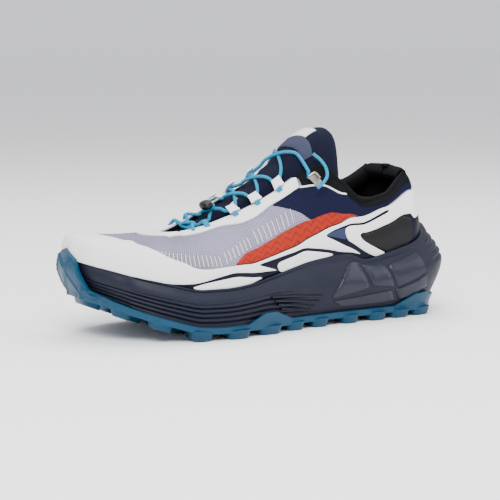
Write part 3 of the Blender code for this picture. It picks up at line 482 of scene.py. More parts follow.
def tongue_section(way):
    """Seven points across the tongue: it leaves the lining at the throat's edges and arches between them."""
    crown, edge, hem = (float(smooth(TONGUE["way"], TONGUE[name], way)) for name in ("crown", "edge", "hem"))
    sides = []
    for place in (way, 6 - way):
        low, high = (inside(place, rise, TONGUE_CLEARANCE) for rise in (hem, edge))
        past = PAST_EDGE * fade(edge, 0.9, 1.0)
        sides.append([low, high + (high - low) / np.linalg.norm(high - low) * past])
    (lateral_hem, lateral_edge), (medial_hem, medial_edge) = sides
    middle = (lateral_edge + medial_edge) / 2
    top = np.array([middle[0], middle[1], max(crown * TONGUE_HEIGHT, middle[2])])
    shoulders = []
    for side in (lateral_edge, medial_edge):
        shoulder = between(top, side, SHOULDER_OUT)
        shoulder[2] = between(side[2], top[2], SHOULDER_UP)
        shoulders.append(shoulder)
    return [lateral_hem, lateral_edge, shoulders[0], top, shoulders[1], medial_edge, medial_hem]


EYELETS = (2.12, 1.97, 1.84, 1.735, 1.63, 1.50)
EYELET_SPREAD = 0.005


# Meshes

FINE_WAYS = 420
WAY_LENGTH, RISE_LENGTH = 0.150, 0.072
METRES = np.array([WAY_LENGTH, RISE_LENGTH])


def new_object(name, points, faces, uv=None, smooth=True):
    """A mesh that rides on the shoe, with uv given for each point."""
    mesh = bpy.data.meshes.new(name)
    mesh.from_pydata([tuple(point) for point in points], [], [tuple(int(i) for i in face) for face in faces])
    if uv is not None:
        layer = mesh.uv_layers.new(name="metric")
        corners = np.zeros(len(mesh.loops), int)
        mesh.loops.foreach_get("vertex_index", corners)
        layer.data.foreach_set("uv", np.asarray(uv, float)[corners].ravel())
    if smooth:
        mesh.shade_smooth()
        mesh.set_sharp_from_angle(angle=np.radians(50))
    obj = bpy.data.objects.new(name, mesh)
    bpy.context.scene.collection.objects.link(obj)
    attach(obj, "root")
    return obj


def grid_faces(rows, columns, closed_columns=False, closed_rows=False):
    """Quads of a grid of points, with its rows first."""
    faces = []
    for i in range(rows if closed_rows else rows - 1):
        for j in range(columns if closed_columns else columns - 1):
            below, beside = (i + 1) % rows, (j + 1) % columns
            near, far = i * columns, below * columns
            faces.append((near + j, near + beside, far + beside, far + j))
    return faces


def rim_faces(rows, columns):
    """Walls between the borders of two grids, the second of which follows the first."""
    count = rows * columns
    rim = list(range(columns)) + [i * columns + columns - 1 for i in range(1, rows)]
    rim += [(rows - 1) * columns + j for j in range(columns - 2, -1, -1)]
    rim += [i * columns for i in range(rows - 2, 0, -1)]
    return [(a, b, b + count, a + count) for a, b in zip(rim, rim[1:] + rim[:1])]


def grid_object(name, grid, uv, material, closed_columns=False, closed_rows=False):
    """A mesh from a grid of points, with its faces turned outward."""
    rows, columns = grid.shape[:2]
    faces = grid_faces(rows, columns, closed_columns, closed_rows)
    obj = new_object(name, grid.reshape(-1, 3), faces, np.asarray(uv).reshape(-1, 2))
    outward(obj)
    obj.data.materials.append(material)
    return obj


def outward(obj):
    """Turns faces so that they agree and look outwards."""
    bm = bmesh.new()
    bm.from_mesh(obj.data)
    bmesh.ops.recalc_face_normals(bm, faces=bm.faces)
    bm.to_mesh(obj.data)
    bm.free()


def rounded(corners, radius, rounds=2):
    """A closed outline with its corners cut by a length, and cut again to round them."""
    points = np.array(corners, float) * METRES
    for _ in range(rounds):
        after = np.roll(points, -1, axis=0)
        length = np.linalg.norm(after - points, axis=1, keepdims=True)
        cut = np.minimum(radius / np.maximum(length, 1e-9), 0.3)
        step = (after - points) * cut
        points = np.stack([points + step, after - step], axis=1).reshape(-1, 2)
        radius /= 2.2
    return points / METRES


def spaced(outline, step):
    """The same outline with points at most one step apart."""
    found = []
    for a, b in zip(outline, np.roll(outline, -1, axis=0)):
        count = max(int(np.ceil(np.linalg.norm((b - a) * METRES) / step)), 1)
        found += [between(a, b, i / count) for i in range(count)]
    return np.array(found)


def inset(outline, amount):
    """The outline moved inwards by a length."""
    points = outline * METRES
    before, after = np.roll(points, 1, axis=0), np.roll(points, -1, axis=0)
    turn = np.sign(np.sum(before[:, 0] * points[:, 1] - points[:, 0] * before[:, 1]))
    along = after - before
    length = np.maximum(np.linalg.norm(along, axis=1, keepdims=True), 1e-9)
    inward = np.stack([-along[:, 1], along[:, 0]], axis=1) / length
    return (points + inward * amount * turn) / METRES


def contains(outline, points):
    """Which points lie inside an outline, by counting crossings."""
    x, y = points[:, 0], points[:, 1]
    within = np.zeros(len(points), bool)
    for (ax, ay), (bx, by) in zip(outline, np.roll(outline, -1, axis=0)):
        crosses = (ay > y) != (by > y)
        with np.errstate(divide="ignore", invalid="ignore"):
            at = (bx - ax) * (y - ay) / (by - ay) + ax
        within ^= crosses & (x < at)
    return within


def filled(outline, step=0.0028, bevel=0.0006):
    """Points and triangles that fill an outline, the sides along its edge, and which points lie on the edge.
    """
    rim = spaced(outline, step * 0.7)
    ring_inside = inset(rim, bevel)
    ring_inside = ring_inside[contains(rim, ring_inside)]
    low, high = rim.min(axis=0), rim.max(axis=0)
    columns = np.arange(low[0], high[0], step / WAY_LENGTH)
    rows = np.arange(low[1], high[1], step / RISE_LENGTH)
    grid = np.stack(np.meshgrid(columns, rows), axis=-1).reshape(-1, 2)
    core = inset(rim, bevel * 2.2)
    grid = grid[contains(core, grid)] if len(grid) else grid
    points = np.concatenate([rim, ring_inside, grid])
    loop = list(range(len(rim)))
    made = delaunay_2d_cdt([Vector(p) for p in points], [], [loop], 1, 1e-6)
    verts = np.array([tuple(v) for v in made[0]])
    faces = [list(face) for face in made[2]]
    sides = {}
    for face in faces:
        for a, b in zip(face, face[1:] + face[:1]):
            key = (min(a, b), max(a, b))
            sides[key] = None if key in sides else (a, b)
    edge = [side for side in sides.values() if side]
    on_edge = np.zeros(len(verts), bool)
    on_edge[[i for side in edge for i in side]] = True
    return verts, faces, edge, on_edge


def patch(name, outline, skin, base, height, material, step=0.0028, bevel=0.0006, crown=0.55):
    """A raised patch with a rounded edge. skin(way, rise, lift) gives its points."""
    verts, faces, edge, on_edge = filled(outline, step, bevel)
    lift = np.where(on_edge, base + height * crown, base + height)
    top = skin(verts[:, 0], verts[:, 1], lift)
    foot = skin(verts[:, 0], verts[:, 1], np.full(len(verts), base - 0.0004))
    count = len(verts)
    walls = [(b, a, a + count, b + count) for a, b in edge]
    uv = np.concatenate([verts, verts]) * (WAY_LENGTH, RISE_LENGTH)
    used = np.zeros(2 * count, bool)
    used[:count] = True
    for wall in walls:
        used[list(wall)] = True
    index = np.cumsum(used) - 1
    points = np.concatenate([top, foot])[used]
    solid = [[index[i] for i in face] for face in faces + walls]
    obj = new_object(name, points, solid, uv[used])
    obj.data.materials.append(material)
    return obj


def join(name, objects):
    """One object from several."""
    with bpy.context.temp_override(active_object=objects[0], selected_editable_objects=objects):
        bpy.ops.object.join()
    objects[0].name = name
    objects[0].data.name = name
    return objects[0]


def tube(name, route, radius, material, count=60, sides=12, squash=1.0):
    """A round cord along a smooth curve through a route, with uv along and round it."""
    route = [np.array(point, float) for point in route]
    spots = np.linspace(0, 1, count)
    centre = np.array([through(route, spot) for spot in spots])
    along = np.gradient(centre, axis=0)
    along = unit(along)
    side = np.cross(along[0], (0, 0, 1))
    sides_at = []
    for direction in along:
        side = unit(side - direction * (side @ direction))
        sides_at.append(side)
    sides_at = np.array(sides_at)
    up = np.cross(sides_at, along)
    angle = np.linspace(0, 2 * np.pi, sides + 1)
    ring_points = centre[:, None] + radius * (
        np.cos(angle)[None, :, None] * sides_at[:, None] + squash * np.sin(angle)[None, :, None] * up[:, None]
    )
    length = np.concatenate([[0], np.cumsum(np.linalg.norm(np.diff(centre, axis=0), axis=1))])
    uv = np.stack(np.broadcast_arrays(length[:, None], angle[None, :] * radius), axis=-1)
    faces = grid_faces(count, sides + 1)
    points = ring_points.reshape(-1, 3)
    caps = [len(points), len(points) + 1]
    points = np.concatenate([points, centre[:1], centre[-1:]])
    uv = np.concatenate([uv.reshape(-1, 2), uv[0, :1], uv[-1, :1]])
    last = (count - 1) * (sides + 1)
    faces += [(caps[0], j, j + 1) for j in range(sides)]
    faces += [(caps[1], last + j + 1, last + j) for j in range(sides)]
    obj = new_object(name, points, faces, uv)
    outward(obj)
    obj.data.materials.append(material)
    return obj


# Shader graphs


FULL_TURN = 6.2832


class Field:
    """A number that varies over a surface, which ordinary operators work on."""

    def __init__(self, graph, socket):
        self.graph, self.socket = graph, socket

    def math(self, operation, *others):
        """This number and others through one math node."""
        made = self.graph.tree.nodes.new("ShaderNodeMath")
        made.operation = operation
        for slot, value in zip(made.inputs, (self, *others)):
            self.graph.put(slot, value)
        return Field(self.graph, made.outputs[0])

    def flipped(self, operation, other):
        """The same for two numbers, with this one second."""
        made = self.graph.tree.nodes.new("ShaderNodeMath")
        made.operation = operation
        self.graph.put(made.inputs[0], other)
        self.graph.put(made.inputs[1], self)
        return Field(self.graph, made.outputs[0])

    def __add__(self, other):
        return self.math("ADD", other)

    def __sub__(self, other):
        return self.math("SUBTRACT", other)

    def __mul__(self, other):
        return self.math("MULTIPLY", other)

    def __truediv__(self, other):
        return self.math("DIVIDE", other)

    def __radd__(self, other):
        return self.flipped("ADD", other)

    def __rsub__(self, other):
        return self.flipped("SUBTRACT", other)

    def __rmul__(self, other):
        return self.flipped("MULTIPLY", other)

    def sine(self):
        return self.math("SINE")

    def zigzag(self, length):
        """A number that runs up and down between nought and length."""
        return self.math("PINGPONG", length)

    def step(self, low, high):
        """A smooth rise from nought at low to one at high."""
        made = self.graph.node(
            "ShaderNodeMapRange",
            {"interpolation_type": "SMOOTHSTEP"},
            {"Value": self, "From Min": low, "From Max": high},
        )
        return Field(self.graph, made.outputs[0])


class Graph:
    """A material, whose nodes are made by name."""

    def __init__(self, name, colour, roughness, **constants):
        self.material = bpy.data.materials.new(name)
        self.material.use_nodes = True
        self.tree = self.material.node_tree
        self.shader = self.tree.nodes["Principled BSDF"]
        self.set("Base Color", (*colour, 1))
        self.set("Roughness", roughness)
        for key, value in constants.items():
            self.set(key.replace("_", " "), value)

    def put(self, socket, value):
        """Links a field or a socket to an input, or else sets its value."""
        if isinstance(value, Field):
            self.tree.links.new(value.socket, socket)
        elif hasattr(value, "is_output"):
            self.tree.links.new(value, socket)
        else:
            socket.default_value = value

    def set(self, name, value):
        self.put(self.shader.inputs[name], value)

    def node(self, kind, settings=None, sockets=None):
        """Makes one node with its settings and its inputs."""
        made = self.tree.nodes.new(kind)
        for key, value in (settings or {}).items():
            setattr(made, key, value)
        for key, value in (sockets or {}).items():
            self.put(made.inputs[key], value)
        return made

    def metric(self):
        """The uv map's two lengths, in metres."""
        uv = self.node("ShaderNodeUVMap", {"uv_map": "metric"})
        parts = self.node("ShaderNodeSeparateXYZ", None, {"Vector": uv.outputs[0]})
        return Field(self, parts.outputs[0]), Field(self, parts.outputs[1])

    def noise(self, scale, detail=3.0, roughness=0.55):
        """Cloudy noise in the object's own space."""
        where = self.node("ShaderNodeTexCoord")
        made = self.node(
            "ShaderNodeTexNoise",
            None,
            {"Vector": where.outputs["Object"], "Scale": scale, "Detail": detail, "Roughness": roughness},
        )
        return Field(self, made.outputs["Fac"])

    def cells(self, scale, randomness, feature="F1", on_uv=True):
        """The distance to scattered points, on the uv map or through space."""
        if on_uv:
            where = self.node("ShaderNodeUVMap", {"uv_map": "metric"}).outputs[0]
        else:
            where = self.node("ShaderNodeTexCoord").outputs["Object"]
        made = self.node(
            "ShaderNodeTexVoronoi",
            {"feature": feature},
            {"Vector": where, "Scale": scale, "Randomness": randomness},
        )
        return Field(self, made.outputs["Distance"])

    def mix(self, share, first, second):
        """A colour between two, each a triple or another mix."""
        made = self.node("ShaderNodeMix", {"data_type": "RGBA"})
        self.put(made.inputs["Factor"], share)
        for slot, colour in ((6, first), (7, second)):
            self.put(made.inputs[slot], (*colour, 1) if isinstance(colour, tuple) else colour)
        return made.outputs[2]

    def bump(self, height, distance, strength=1.0):
        """Lets a height tilt the shading."""
        made = self.node(
            "ShaderNodeBump", None, {"Height": height, "Distance": distance, "Strength": strength}
        )
        self.set("Normal", made.outputs[0])
        return self.material


def mesh_cloth():
    """Open mesh: round holes in rows, with the backing seen through them painted dark as shade."""
    graph = Graph("mesh cloth", LILAC, 0.85, Specular_IOR_Level=0.3)
    hole = graph.cells(620, 0.12)
    hole_shade_share = 1 - hole.step(0.22, 0.42)
    cloud = graph.noise(22, 3.0).step(0.35, 0.7)
    cloth = graph.mix(cloud, LILAC, LILAC_SHADE)
    # The holes are painted dark: the backing seen through them, in painted shade.
    graph.set("Base Color", graph.mix(hole_shade_share * 0.6, cloth, (0.075, 0.070, 0.115)))
    return graph.bump(hole.step(0.15, 0.5) + graph.noise(1800, 2.0) * 0.25, 0.0005, 0.8)


def film(name, colour, roughness, dirt=0.25, coat=0.0):
    """Smooth welded film with faint marks."""
    graph = Graph(name, colour, roughness, Specular_IOR_Level=0.08, Coat_Weight=coat, Coat_Roughness=0.3)
    marks = graph.noise(60, 5.0, 0.65).step(0.55, 0.80)
    graph.set("Base Color", graph.mix(marks * dirt, colour, tuple(c * 0.6 + 0.004 for c in colour)))
    graph.set("Roughness", roughness + marks * 0.15)
    return graph.bump(graph.noise(900, 3.0), 0.00012, 0.5)


def printed_band():
    """Orange film with darker chevrons."""
    graph = Graph("printed band", ORANGE, 0.55, Specular_IOR_Level=0.2)
    along, up = graph.metric()
    rows = (up + along.zigzag(0.0042) * 0.9).zigzag(0.0024)
    line = 1 - rows.step(0.0005, 0.0010)
    worn = graph.noise(300, 3.0).step(0.45, 0.7)
    graph.set("Base Color", graph.mix(line * (0.45 + worn * 0.4), ORANGE, (0.120, 0.008, 0.004)))
    return graph.bump(1 - line, 0.0002, 0.5)


def crosshatched():
    """Navy textile with a diagonal net of paler lines."""
    graph = Graph("crosshatched cloth", QUARTER, 0.85, Specular_IOR_Level=0.08)
    along, up = graph.metric()
    first = (along + up).zigzag(0.0010)
    second = (along - up).zigzag(0.0010)
    line = 1 - (first * second * 1000000.0).step(0.02, 0.10)
    graph.set("Base Color", graph.mix(line * 0.45, QUARTER, (0.035, 0.038, 0.085)))
    return graph.bump(line + graph.noise(900, 2.0) * 0.3, 0.0003, 0.7)


def knit(name, colour, pitch=0.0012):
    """Fine ribbed knit."""
    graph = Graph(name, colour, 0.9, Specular_IOR_Level=0.15)
    along, up = graph.metric()
    rib = (along * (FULL_TURN / pitch)).sine()
    stitch = (up * (FULL_TURN / pitch) + rib).sine()
    soft = graph.noise(40, 3.0).step(0.3, 0.75)
    graph.set("Base Color", graph.mix(soft * 0.5, colour, tuple(c * 2.2 for c in colour)))
    return graph.bump(rib * 0.4 + stitch * 0.4 + graph.noise(1500, 2.0) * 0.5, 0.00035, 0.7)


def foam():
    """Moulded foam skin with a faint grain and dust."""
    graph = Graph("midsole foam", MIDSOLE, 0.6, Specular_IOR_Level=0.25)
    dust = graph.noise(55, 5.0, 0.7).step(0.52, 0.80)
    graph.set("Base Color", graph.mix(dust * 0.20, MIDSOLE, (0.020, 0.026, 0.055)))
    graph.set("Roughness", 0.52 + dust * 0.2)
    return graph.bump(graph.noise(1400, 3.0) + graph.noise(200, 2.0) * 0.4, 0.00022, 0.6)


def rubber():
    """Teal rubber with a little dust on it."""
    graph = Graph("outsole rubber", TEAL, 0.5, Specular_IOR_Level=0.25)
    dust = graph.noise(45, 5.0, 0.7).step(0.5, 0.8)
    graph.set("Base Color", graph.mix(dust * 0.22, TEAL, (0.008, 0.100, 0.170)))
    graph.set("Roughness", 0.42 + dust * 0.25)
    return graph.bump(graph.noise(1100, 3.0), 0.0002, 0.5)


def braid(name, colour):
    """Round cord of two crossing sets of strands, with painted shade in the gaps between them."""
    graph = Graph(name, colour, 0.65, Specular_IOR_Level=0.3)
    along, around = graph.metric()
    turn = FULL_TURN / 0.0014
    first = (along * turn + around * turn).sine()
    second = (along * turn - around * turn).sine()
    strand = first.math("MAXIMUM", second)
    # Painted shade: the gaps between the strands are painted darker than the strands' tops.
    deep = tuple(c * 0.45 for c in colour)
    graph.set("Base Color", graph.mix(strand.step(-0.2, 0.7), deep, colour))
    return graph.bump(strand, 0.0003, 0.8)


def cloth(name, colour, pitch=0.0009, roughness=0.85):
    """Plain weave."""
    graph = Graph(name, colour, roughness, Specular_IOR_Level=0.15)
    along, up = graph.metric()
    weave = (along * (FULL_TURN / pitch)).sine() * (up * (FULL_TURN / pitch)).sine()
    soft = graph.noise(35, 3.0).step(0.3, 0.75)
    graph.set("Base Color", graph.mix(soft * 0.4, colour, tuple(min(c * 1.6, 1) for c in colour)))
    return graph.bump(weave + graph.noise(1200, 2.0) * 0.4, 0.00025, 0.7)


def satin(name, colour, roughness, metallic=0.0, coat=0.0):
    """A smooth surface of one colour and one gloss."""
    graph = Graph(name, colour, roughness, Metallic=metallic, Specular_IOR_Level=0.2)
    graph.set("Coat Weight", coat)
    graph.set("Coat Roughness", 0.15)
    return graph.bump(graph.noise(500, 4.0), 0.0001, 0.4)


MATERIALS = {}


def finish_of(name):
    """Each finish is made once, when a piece first asks for it."""
    makers = {
        "mesh": mesh_cloth,
        "white": lambda: film("white film", WHITE, 0.40),
        "orange": printed_band,
        "underlay": lambda: film("navy film", UNDERLAY, 0.45, 0.2, 0.05),
        "quarter": crosshatched,
        "collar": lambda: knit("collar knit", BLACK),
        "foam": foam,
        "rubber": rubber,
        "lace": lambda: braid("lace braid", CYAN),
        "tongue": lambda: cloth("tongue cloth", TONGUE_NAVY),
        "lining": lambda: cloth("lining", BLACK),
        "badge": lambda: satin("badge", BADGE_BLACK, 0.45, coat=0.03),
        "facet": lambda: satin("clear facets", FACET_GREY, 0.35, coat=0.12),
        "steel": lambda: satin("clip metal", STEEL, 0.35, metallic=0.8),
        "plastic": lambda: satin("black plastic", BLACK, 0.40, coat=0.2),
        "label": lambda: cloth("label cloth", WHITE, 0.0006, 0.7),
        "ribbon": lambda: cloth("ribbon", RIBBON, 0.0008),
        "slate": lambda: film("slate film", SLATE, 0.45),
        "thread": lambda: satin("thread", CREAM, 0.8),
    }
    if name not in MATERIALS:
        MATERIALS[name] = makers[name]()
    return MATERIALS[name]


# The upper's skin

# Creases: way and rise of each end, half width and depth in metres, positive outwards
CREASES = table(
    "way_a rise_a way_b rise_b wide deep",
    (0.62, 0.97, 0.95, 0.84, 0.0040, -0.0016),
    (0.95, 0.98, 1.12, 0.86, 0.0040, 0.0012),
    (1.18, 0.99, 1.32, 0.86, 0.0035, -0.0016),
    (1.36, 0.97, 1.46, 0.84, 0.0035, -0.0012),
    (2.46, 0.66, 2.40, 0.92, 0.0050, -0.0010),
    (2.20, 0.48, 2.28, 0.80, 0.0045, 0.0007),
    (2.02, 0.42, 2.12, 0.70, 0.0045, -0.0007),
    (1.86, 0.48, 1.84, 0.66, 0.0040, -0.0005),
)


# How far the padded collar swells outwards
PAD_SWELL = 0.0006


def relief(way, rise):
    """How far the upper's surface stands off its plain skin."""
    way, rise = np.broadcast_arrays(np.asarray(way, float), np.asarray(rise, float))
    side = np.where(way <= 3, way, 6 - way)
    total = np.zeros(way.shape)
    for row in zip(*CREASES.values()):
        a, b = np.array(row[0:2]) * METRES, np.array(row[2:4]) * METRES
        point = np.stack([side, rise], axis=-1) * METRES
        share = ((point - a) @ (b - a) / ((b - a) @ (b - a))).clip(0, 1)
        away = np.linalg.norm(point - a - share[..., None] * (b - a), axis=-1)
        total += row[5] * np.exp(-((away / row[4]) ** 2))
    pad = fade(rise, 0.72, 0.92) * (1 - fade(side, 1.40, 1.56))
    return total + PAD_SWELL * pad


def skin(way, rise, lift=0.0):
    """Points on the upper's finished surface, or off it by a length."""
    out = normal(UPPER_RINGS, way, rise)
    off = relief(way, rise) + np.asarray(lift)
    return surface(UPPER_RINGS, way, rise) + out * off[..., None]


def build_upper():
    """The mesh shell, with its padded collar and its inner face."""
    ways = np.linspace(0, 6, FINE_WAYS + 1)[:-1]
    rises = np.linspace(0, 1, 58)
    rows = [skin(ways, rise) for rise in rises]
    outer, inner = rows[-1], inside(ways, 1.0)
    across = np.linalg.norm(outer - inner, axis=1, keepdims=True)
    for turn in np.linspace(0, np.pi, 9)[1:-1]:
        share = (1 - np.cos(turn)) / 2
        rows.append(between(outer, inner, share) + across * 0.45 * np.sin(turn) * np.array([0, 0, 1]))
    rows += [inside(ways, rise) for rise in rises[::-3]]
    grid = np.array(rows)
    up = np.linspace(0, len(rows) * 0.0013, len(rows))
    uv = grid_uv(ways * WAY_LENGTH, up)
    uv[: len(rises), :, 1] = rises[:, None] * RISE_LENGTH
    upper = grid_object("upper_shell", grid, uv, finish_of("mesh"), closed_columns=True)
    upper.data.materials.append(finish_of("lining"))
    on_side = np.minimum(ways, 6 - ways)
    for face in upper.data.polygons:
        row, column = divmod(face.index, FINE_WAYS)
        face.material_index = int(row >= len(rises) + (-4 if on_side[column] < 1.56 else 3))
    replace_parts(upper, "upper")


# Panels on the upper: corners are (way, rise) on the lateral side

TOE_EDGE = (
    (3.0, 0.62),
    (2.72, 0.62),
    (2.60, 0.60),
    (2.56, 0.625),
    (2.50, 0.585),
    (2.41, 0.555),
    (2.34, 0.50),
    (2.27, 0.43),
    (2.20, 0.385),
    (2.15, 0.32),
    (2.09, 0.29),
    (1.955, 0.285),
)
UNDER_BAND = (
    (1.87, 0.265),
    (1.75, 0.275),
    (1.60, 0.29),
    (1.50, 0.34),
    (1.39, 0.425),
    (1.265, 0.610),
    (1.16, 0.71),
    (1.00, 0.71),
    (0.60, 0.64),
    (0.20, 0.60),
)
CAGE_FOOT = (
    (0.20, 0.30),
    (0.60, 0.315),
    (0.90, 0.315),
    (1.05, 0.435),
    (1.286, 0.355),
    (1.280, 0.285),
    (1.135, 0.085),
    (1.19, 0.08),
    (1.355, 0.265),
    (1.365, 0.37),
    (1.348, 0.41),
    (1.11, 0.60),
    (1.125, 0.645),
    (1.475, 0.31),
    (1.27, 0.125),
    (1.40, 0.155),
    (1.59, 0.245),
    (1.845, 0.24),
    (1.735, 0.12),
    (1.965, 0.215),
    (2.285, 0.11),
    (2.60, 0.06),
    (3.0, 0.06),
)
BAND_PANEL = (
    (1.955, 0.292),
    (1.895, 0.395),
    (1.845, 0.405),
    (1.705, 0.445),
    (1.53, 0.46),
    (1.42, 0.53),
    (1.355, 0.55),
    (1.275, 0.612),
    (1.39, 0.437),
    (1.50, 0.352),
    (1.60, 0.302),
    (1.75, 0.287),
    (1.87, 0.277),
)
PENTAGON = (
    (1.738, 0.19),
    (1.585, 0.215),
    (1.42, 0.13),
    (1.55, 0.06),
    (1.69, 0.05),
    (1.733, 0.12),
)
LENS = (
    (2.175, 0.10),
    (2.12, 0.14),
    (1.955, 0.17),
    (1.81, 0.10),
    (1.90, 0.06),
    (2.10, 0.05),
)
BADGE = (
    (1.280, 0.350),
    (1.05, 0.425),
    (0.955, 0.27),
    (0.965, 0.12),
    (1.0, 0.09),
    (1.130, 0.085),
    (1.274, 0.285),
)
SLATE_PANEL = ((1.470, 0.31), (1.350, 0.405), (1.368, 0.37), (1.358, 0.27))
UNDERLAY_PANEL = (
    (2.36, 0.04),
    (2.20, 0.24),
    (2.05, 0.287),
    (1.75, 0.287),
    (1.55, 0.33),
    (1.40, 0.43),
    (1.20, 0.66),
    (1.02, 0.66),
    (0.60, 0.62),
    (0.14, 0.60),
    (0.10, 0.33),
    (0.10, 0.04),
)
QUARTER_PANEL = (
    (1.69, 0.775),
    (1.62, 0.62),
    (1.53, 0.46),
    (1.40, 0.52),
    (1.22, 0.62),
    (1.10, 0.74),
    (1.00, 0.73),
    (0.60, 0.68),
    (0.14, 0.66),
    (0.14, 0.80),
    (0.60, 0.82),
    (0.95, 0.86),
    (1.20, 0.80),
    (1.335, 0.83),
    (1.375, 0.77),
    (1.45, 0.775),
    (1.56, 0.80),
)
COLLAR_PANEL = (
    (0.0, 0.79),
    (0.60, 0.81),
    (0.95, 0.85),
    (1.20, 0.79),
    (1.335, 0.83),
    (1.375, 0.775),
    (1.45, 0.78),
    (1.54, 0.80),
    (1.55, 1.0),
    (0.0, 1.0),
)
HEEL_STRIP = ((-0.16, 0.10), (0.16, 0.10), (0.16, 0.80), (-0.16, 0.80))
EYESTAY_PANEL = (
    (1.555, 0.985),
    (1.555, 0.79),
    (1.60, 0.77),
    (1.69, 0.79),
    (1.78, 0.74),
    (1.85, 0.76),
    (1.90, 0.82),
    (1.94, 0.86),
    (2.05, 0.84),
    (2.40, 0.86),
)
PIPING = ((1.555, 0.80), (1.45, 0.775), (1.375, 0.77), (1.335, 0.83))
# Runs of long stitches: each end's way, foot and head, and how many
STITCH_RUNS = table(
    "way_a foot_a head_a way_b foot_b head_b count",
    (2.36, 0.42, 0.53, 2.02, 0.30, 0.43, 17),
    (1.99, 0.33, 0.46, 1.86, 0.43, 0.56, 7),
    (1.82, 0.44, 0.60, 1.62, 0.48, 0.62, 9),
)
FILM, THIN = 0.0009, 0.0004


def mirrored(corners):
    """The same corners on the medial side, in reverse."""
    return [(6 - way, rise) for way, rise in corners[::-1]]


def above_rim(outline):
    """Keeps an outline clear of the midsole's rim."""
    rim = rise_at(UPPER_RINGS, outline[:, 0], ring("rim", outline[:, 0])[:, 2] - 0.0004)
    return np.stack([outline[:, 0], np.maximum(outline[:, 1], rim)], axis=1)


def panel(name, corners, base, height, finish, radius=0.0020, step=0.0028):
    """One film on the upper, cut to an outline with rounded corners."""
    outline = above_rim(spaced(rounded(corners, radius), step))
    return patch(name, outline, skin, base, height, finish_of(finish), step)


def both_sides(name, corners, base, height, finish, radius=0.0020, step=0.0028):
    """A panel and its mirror image, as two pieces."""
    first = panel(name + "_lateral", corners, base, height, finish, radius, step)
    second = panel(name + "_medial", mirrored(corners), base, height, finish, radius, step)
    return first, second


PIPING_RADIUS = 0.0007


def build_panels():
    """The films, panels and piping on the upper's outside."""
    cage_top = list(TOE_EDGE[1:]) + list(UNDER_BAND)
    cage_top, foot = cage_top[::-1], list(CAGE_FOOT[:-1])[::-1]
    corners = cage_top + mirrored(cage_top) + mirrored(foot) + foot
    cage = panel("cage_film", corners, THIN, FILM, "white", 0.0016)
    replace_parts(cage, "cage")
    both_sides("underlay", UNDERLAY_PANEL, 0.0, THIN, "underlay")
    both_sides("quarter", QUARTER_PANEL, 0.0, THIN, "quarter", 0.001)
    bands = both_sides("band", BAND_PANEL, THIN, FILM, "orange", 0.0015)
    badges = both_sides("badge", BADGE, THIN, FILM * 0.8, "badge", 0.0012)
    for node, pair in (("band_", bands), ("badge_", badges)):
        for side, obj in zip(("lateral", "medial"), pair):
            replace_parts(obj, node + side)
    both_sides("pentagon", PENTAGON, THIN, FILM, "white", 0.0015)
    both_sides("lens", LENS, THIN, FILM, "white", 0.0020)
    both_sides("slate", SLATE_PANEL, THIN, THIN, "slate", 0.0010)
    collar = list(COLLAR_PANEL[1:-1])
    panel("collar_knit_lateral", collar + [(0.0, 1.0), (0.0, 0.79)], 0.0, THIN, "collar", 0.0008)
    panel("collar_knit_medial", mirrored(COLLAR_PANEL), 0.0, THIN, "collar", 0.0008)
    panel("heel_strip", HEEL_STRIP, 0.0, THIN, "collar", 0.0010)
    throat = [(way, 0.985) for way in np.linspace(1.555, 4.445, 33)]
    lower = list(EYESTAY_PANEL[1:])
    eyestay = panel("eyestay_film", lower + mirrored(lower) + throat[::-1], THIN, FILM, "white", 0.0012)
    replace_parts(eyestay, "eyestay")
    for side, points in (("lateral", PIPING), ("medial", mirrored(PIPING))):
        route = [skin(*point, THIN) for point in points]
        tube("piping_" + side, route, PIPING_RADIUS, finish_of("white"), 40, 8)


STITCH_RADIUS, STITCH_LIFT = 0.0004, 0.0003


def build_stitches():
    """Short runs of thread along both sides."""
    pieces = []
    for mirror in (False, True):
        for way_a, foot_a, head_a, way_b, foot_b, head_b, count in zip(*STITCH_RUNS.values()):
            for share in np.linspace(0, 1, int(count)):
                way = between(way_a, way_b, share)
                foot, head = between(foot_a, foot_b, share), between(head_a, head_b, share)
                place = 6 - way if mirror else way
                route = [skin(place, rise, STITCH_LIFT) for rise in np.linspace(foot, head, 4)]
                pieces.append(tube("stitch", route, STITCH_RADIUS, finish_of("thread"), 6, 6))
    join("stitches", pieces)


# Sole

MIDSOLE_ROWS = 76
# Grooves cut along the side, round the heel and round the waist
GROOVES = 4
GROOVE_DEPTH = 0.0017
# How far in from the feather edge the midsole's bed starts
BED_INSET = 0.010
HEEL_GROOVES = 4
HEEL_GROOVE_DEPTH = 0.0018
WAIST_GROOVE_DEPTH = 0.0007
SOLE_WAYS = np.linspace(0, 6, 481)[:-1]
SOLE_SIDE = np.where(SOLE_WAYS <= 3, SOLE_WAYS, 6 - SOLE_WAYS)
# Raised facets on the rear of the side: corners are (way, rise) on the sole's side
FACETS = (
    ((1.46, 0.30), (1.36, 0.86), (1.30, 0.90), (1.26, 0.42)),
    ((1.245, 0.44), (1.285, 0.88), (1.17, 0.80), (1.13, 0.36)),
    ((1.40, 0.14), (1.45, 0.26), (1.14, 0.31), (1.10, 0.12)),
    ((1.115, 0.34), (1.155, 0.76), (0.99, 0.84), (0.92, 0.46)),
    ((1.08, 0.12), (1.12, 0.30), (0.91, 0.42), (0.84, 0.24)),
)
FACET_HEIGHT = 0.0011
FACET_FOOT = -0.0002
# Crossed ridges on the toe bumper
RIDGE_HEIGHT = 0.0010
RIDGE_WAY = 0.10
# Fins ahead of the facets: way and rise of each end
FINS = table(
    "way_a rise_a way_b rise_b",
    (1.78, 0.42, 1.50, 0.36),
    (1.76, 0.34, 1.52, 0.27),
    (1.74, 0.27, 1.54, 0.19),
    (1.72, 0.20, 1.56, 0.12),
)


def groove(value, centre, wide):
    """A soft dent, one deep at its centre."""
    return np.exp(-(((value - centre) / wide) ** 2))


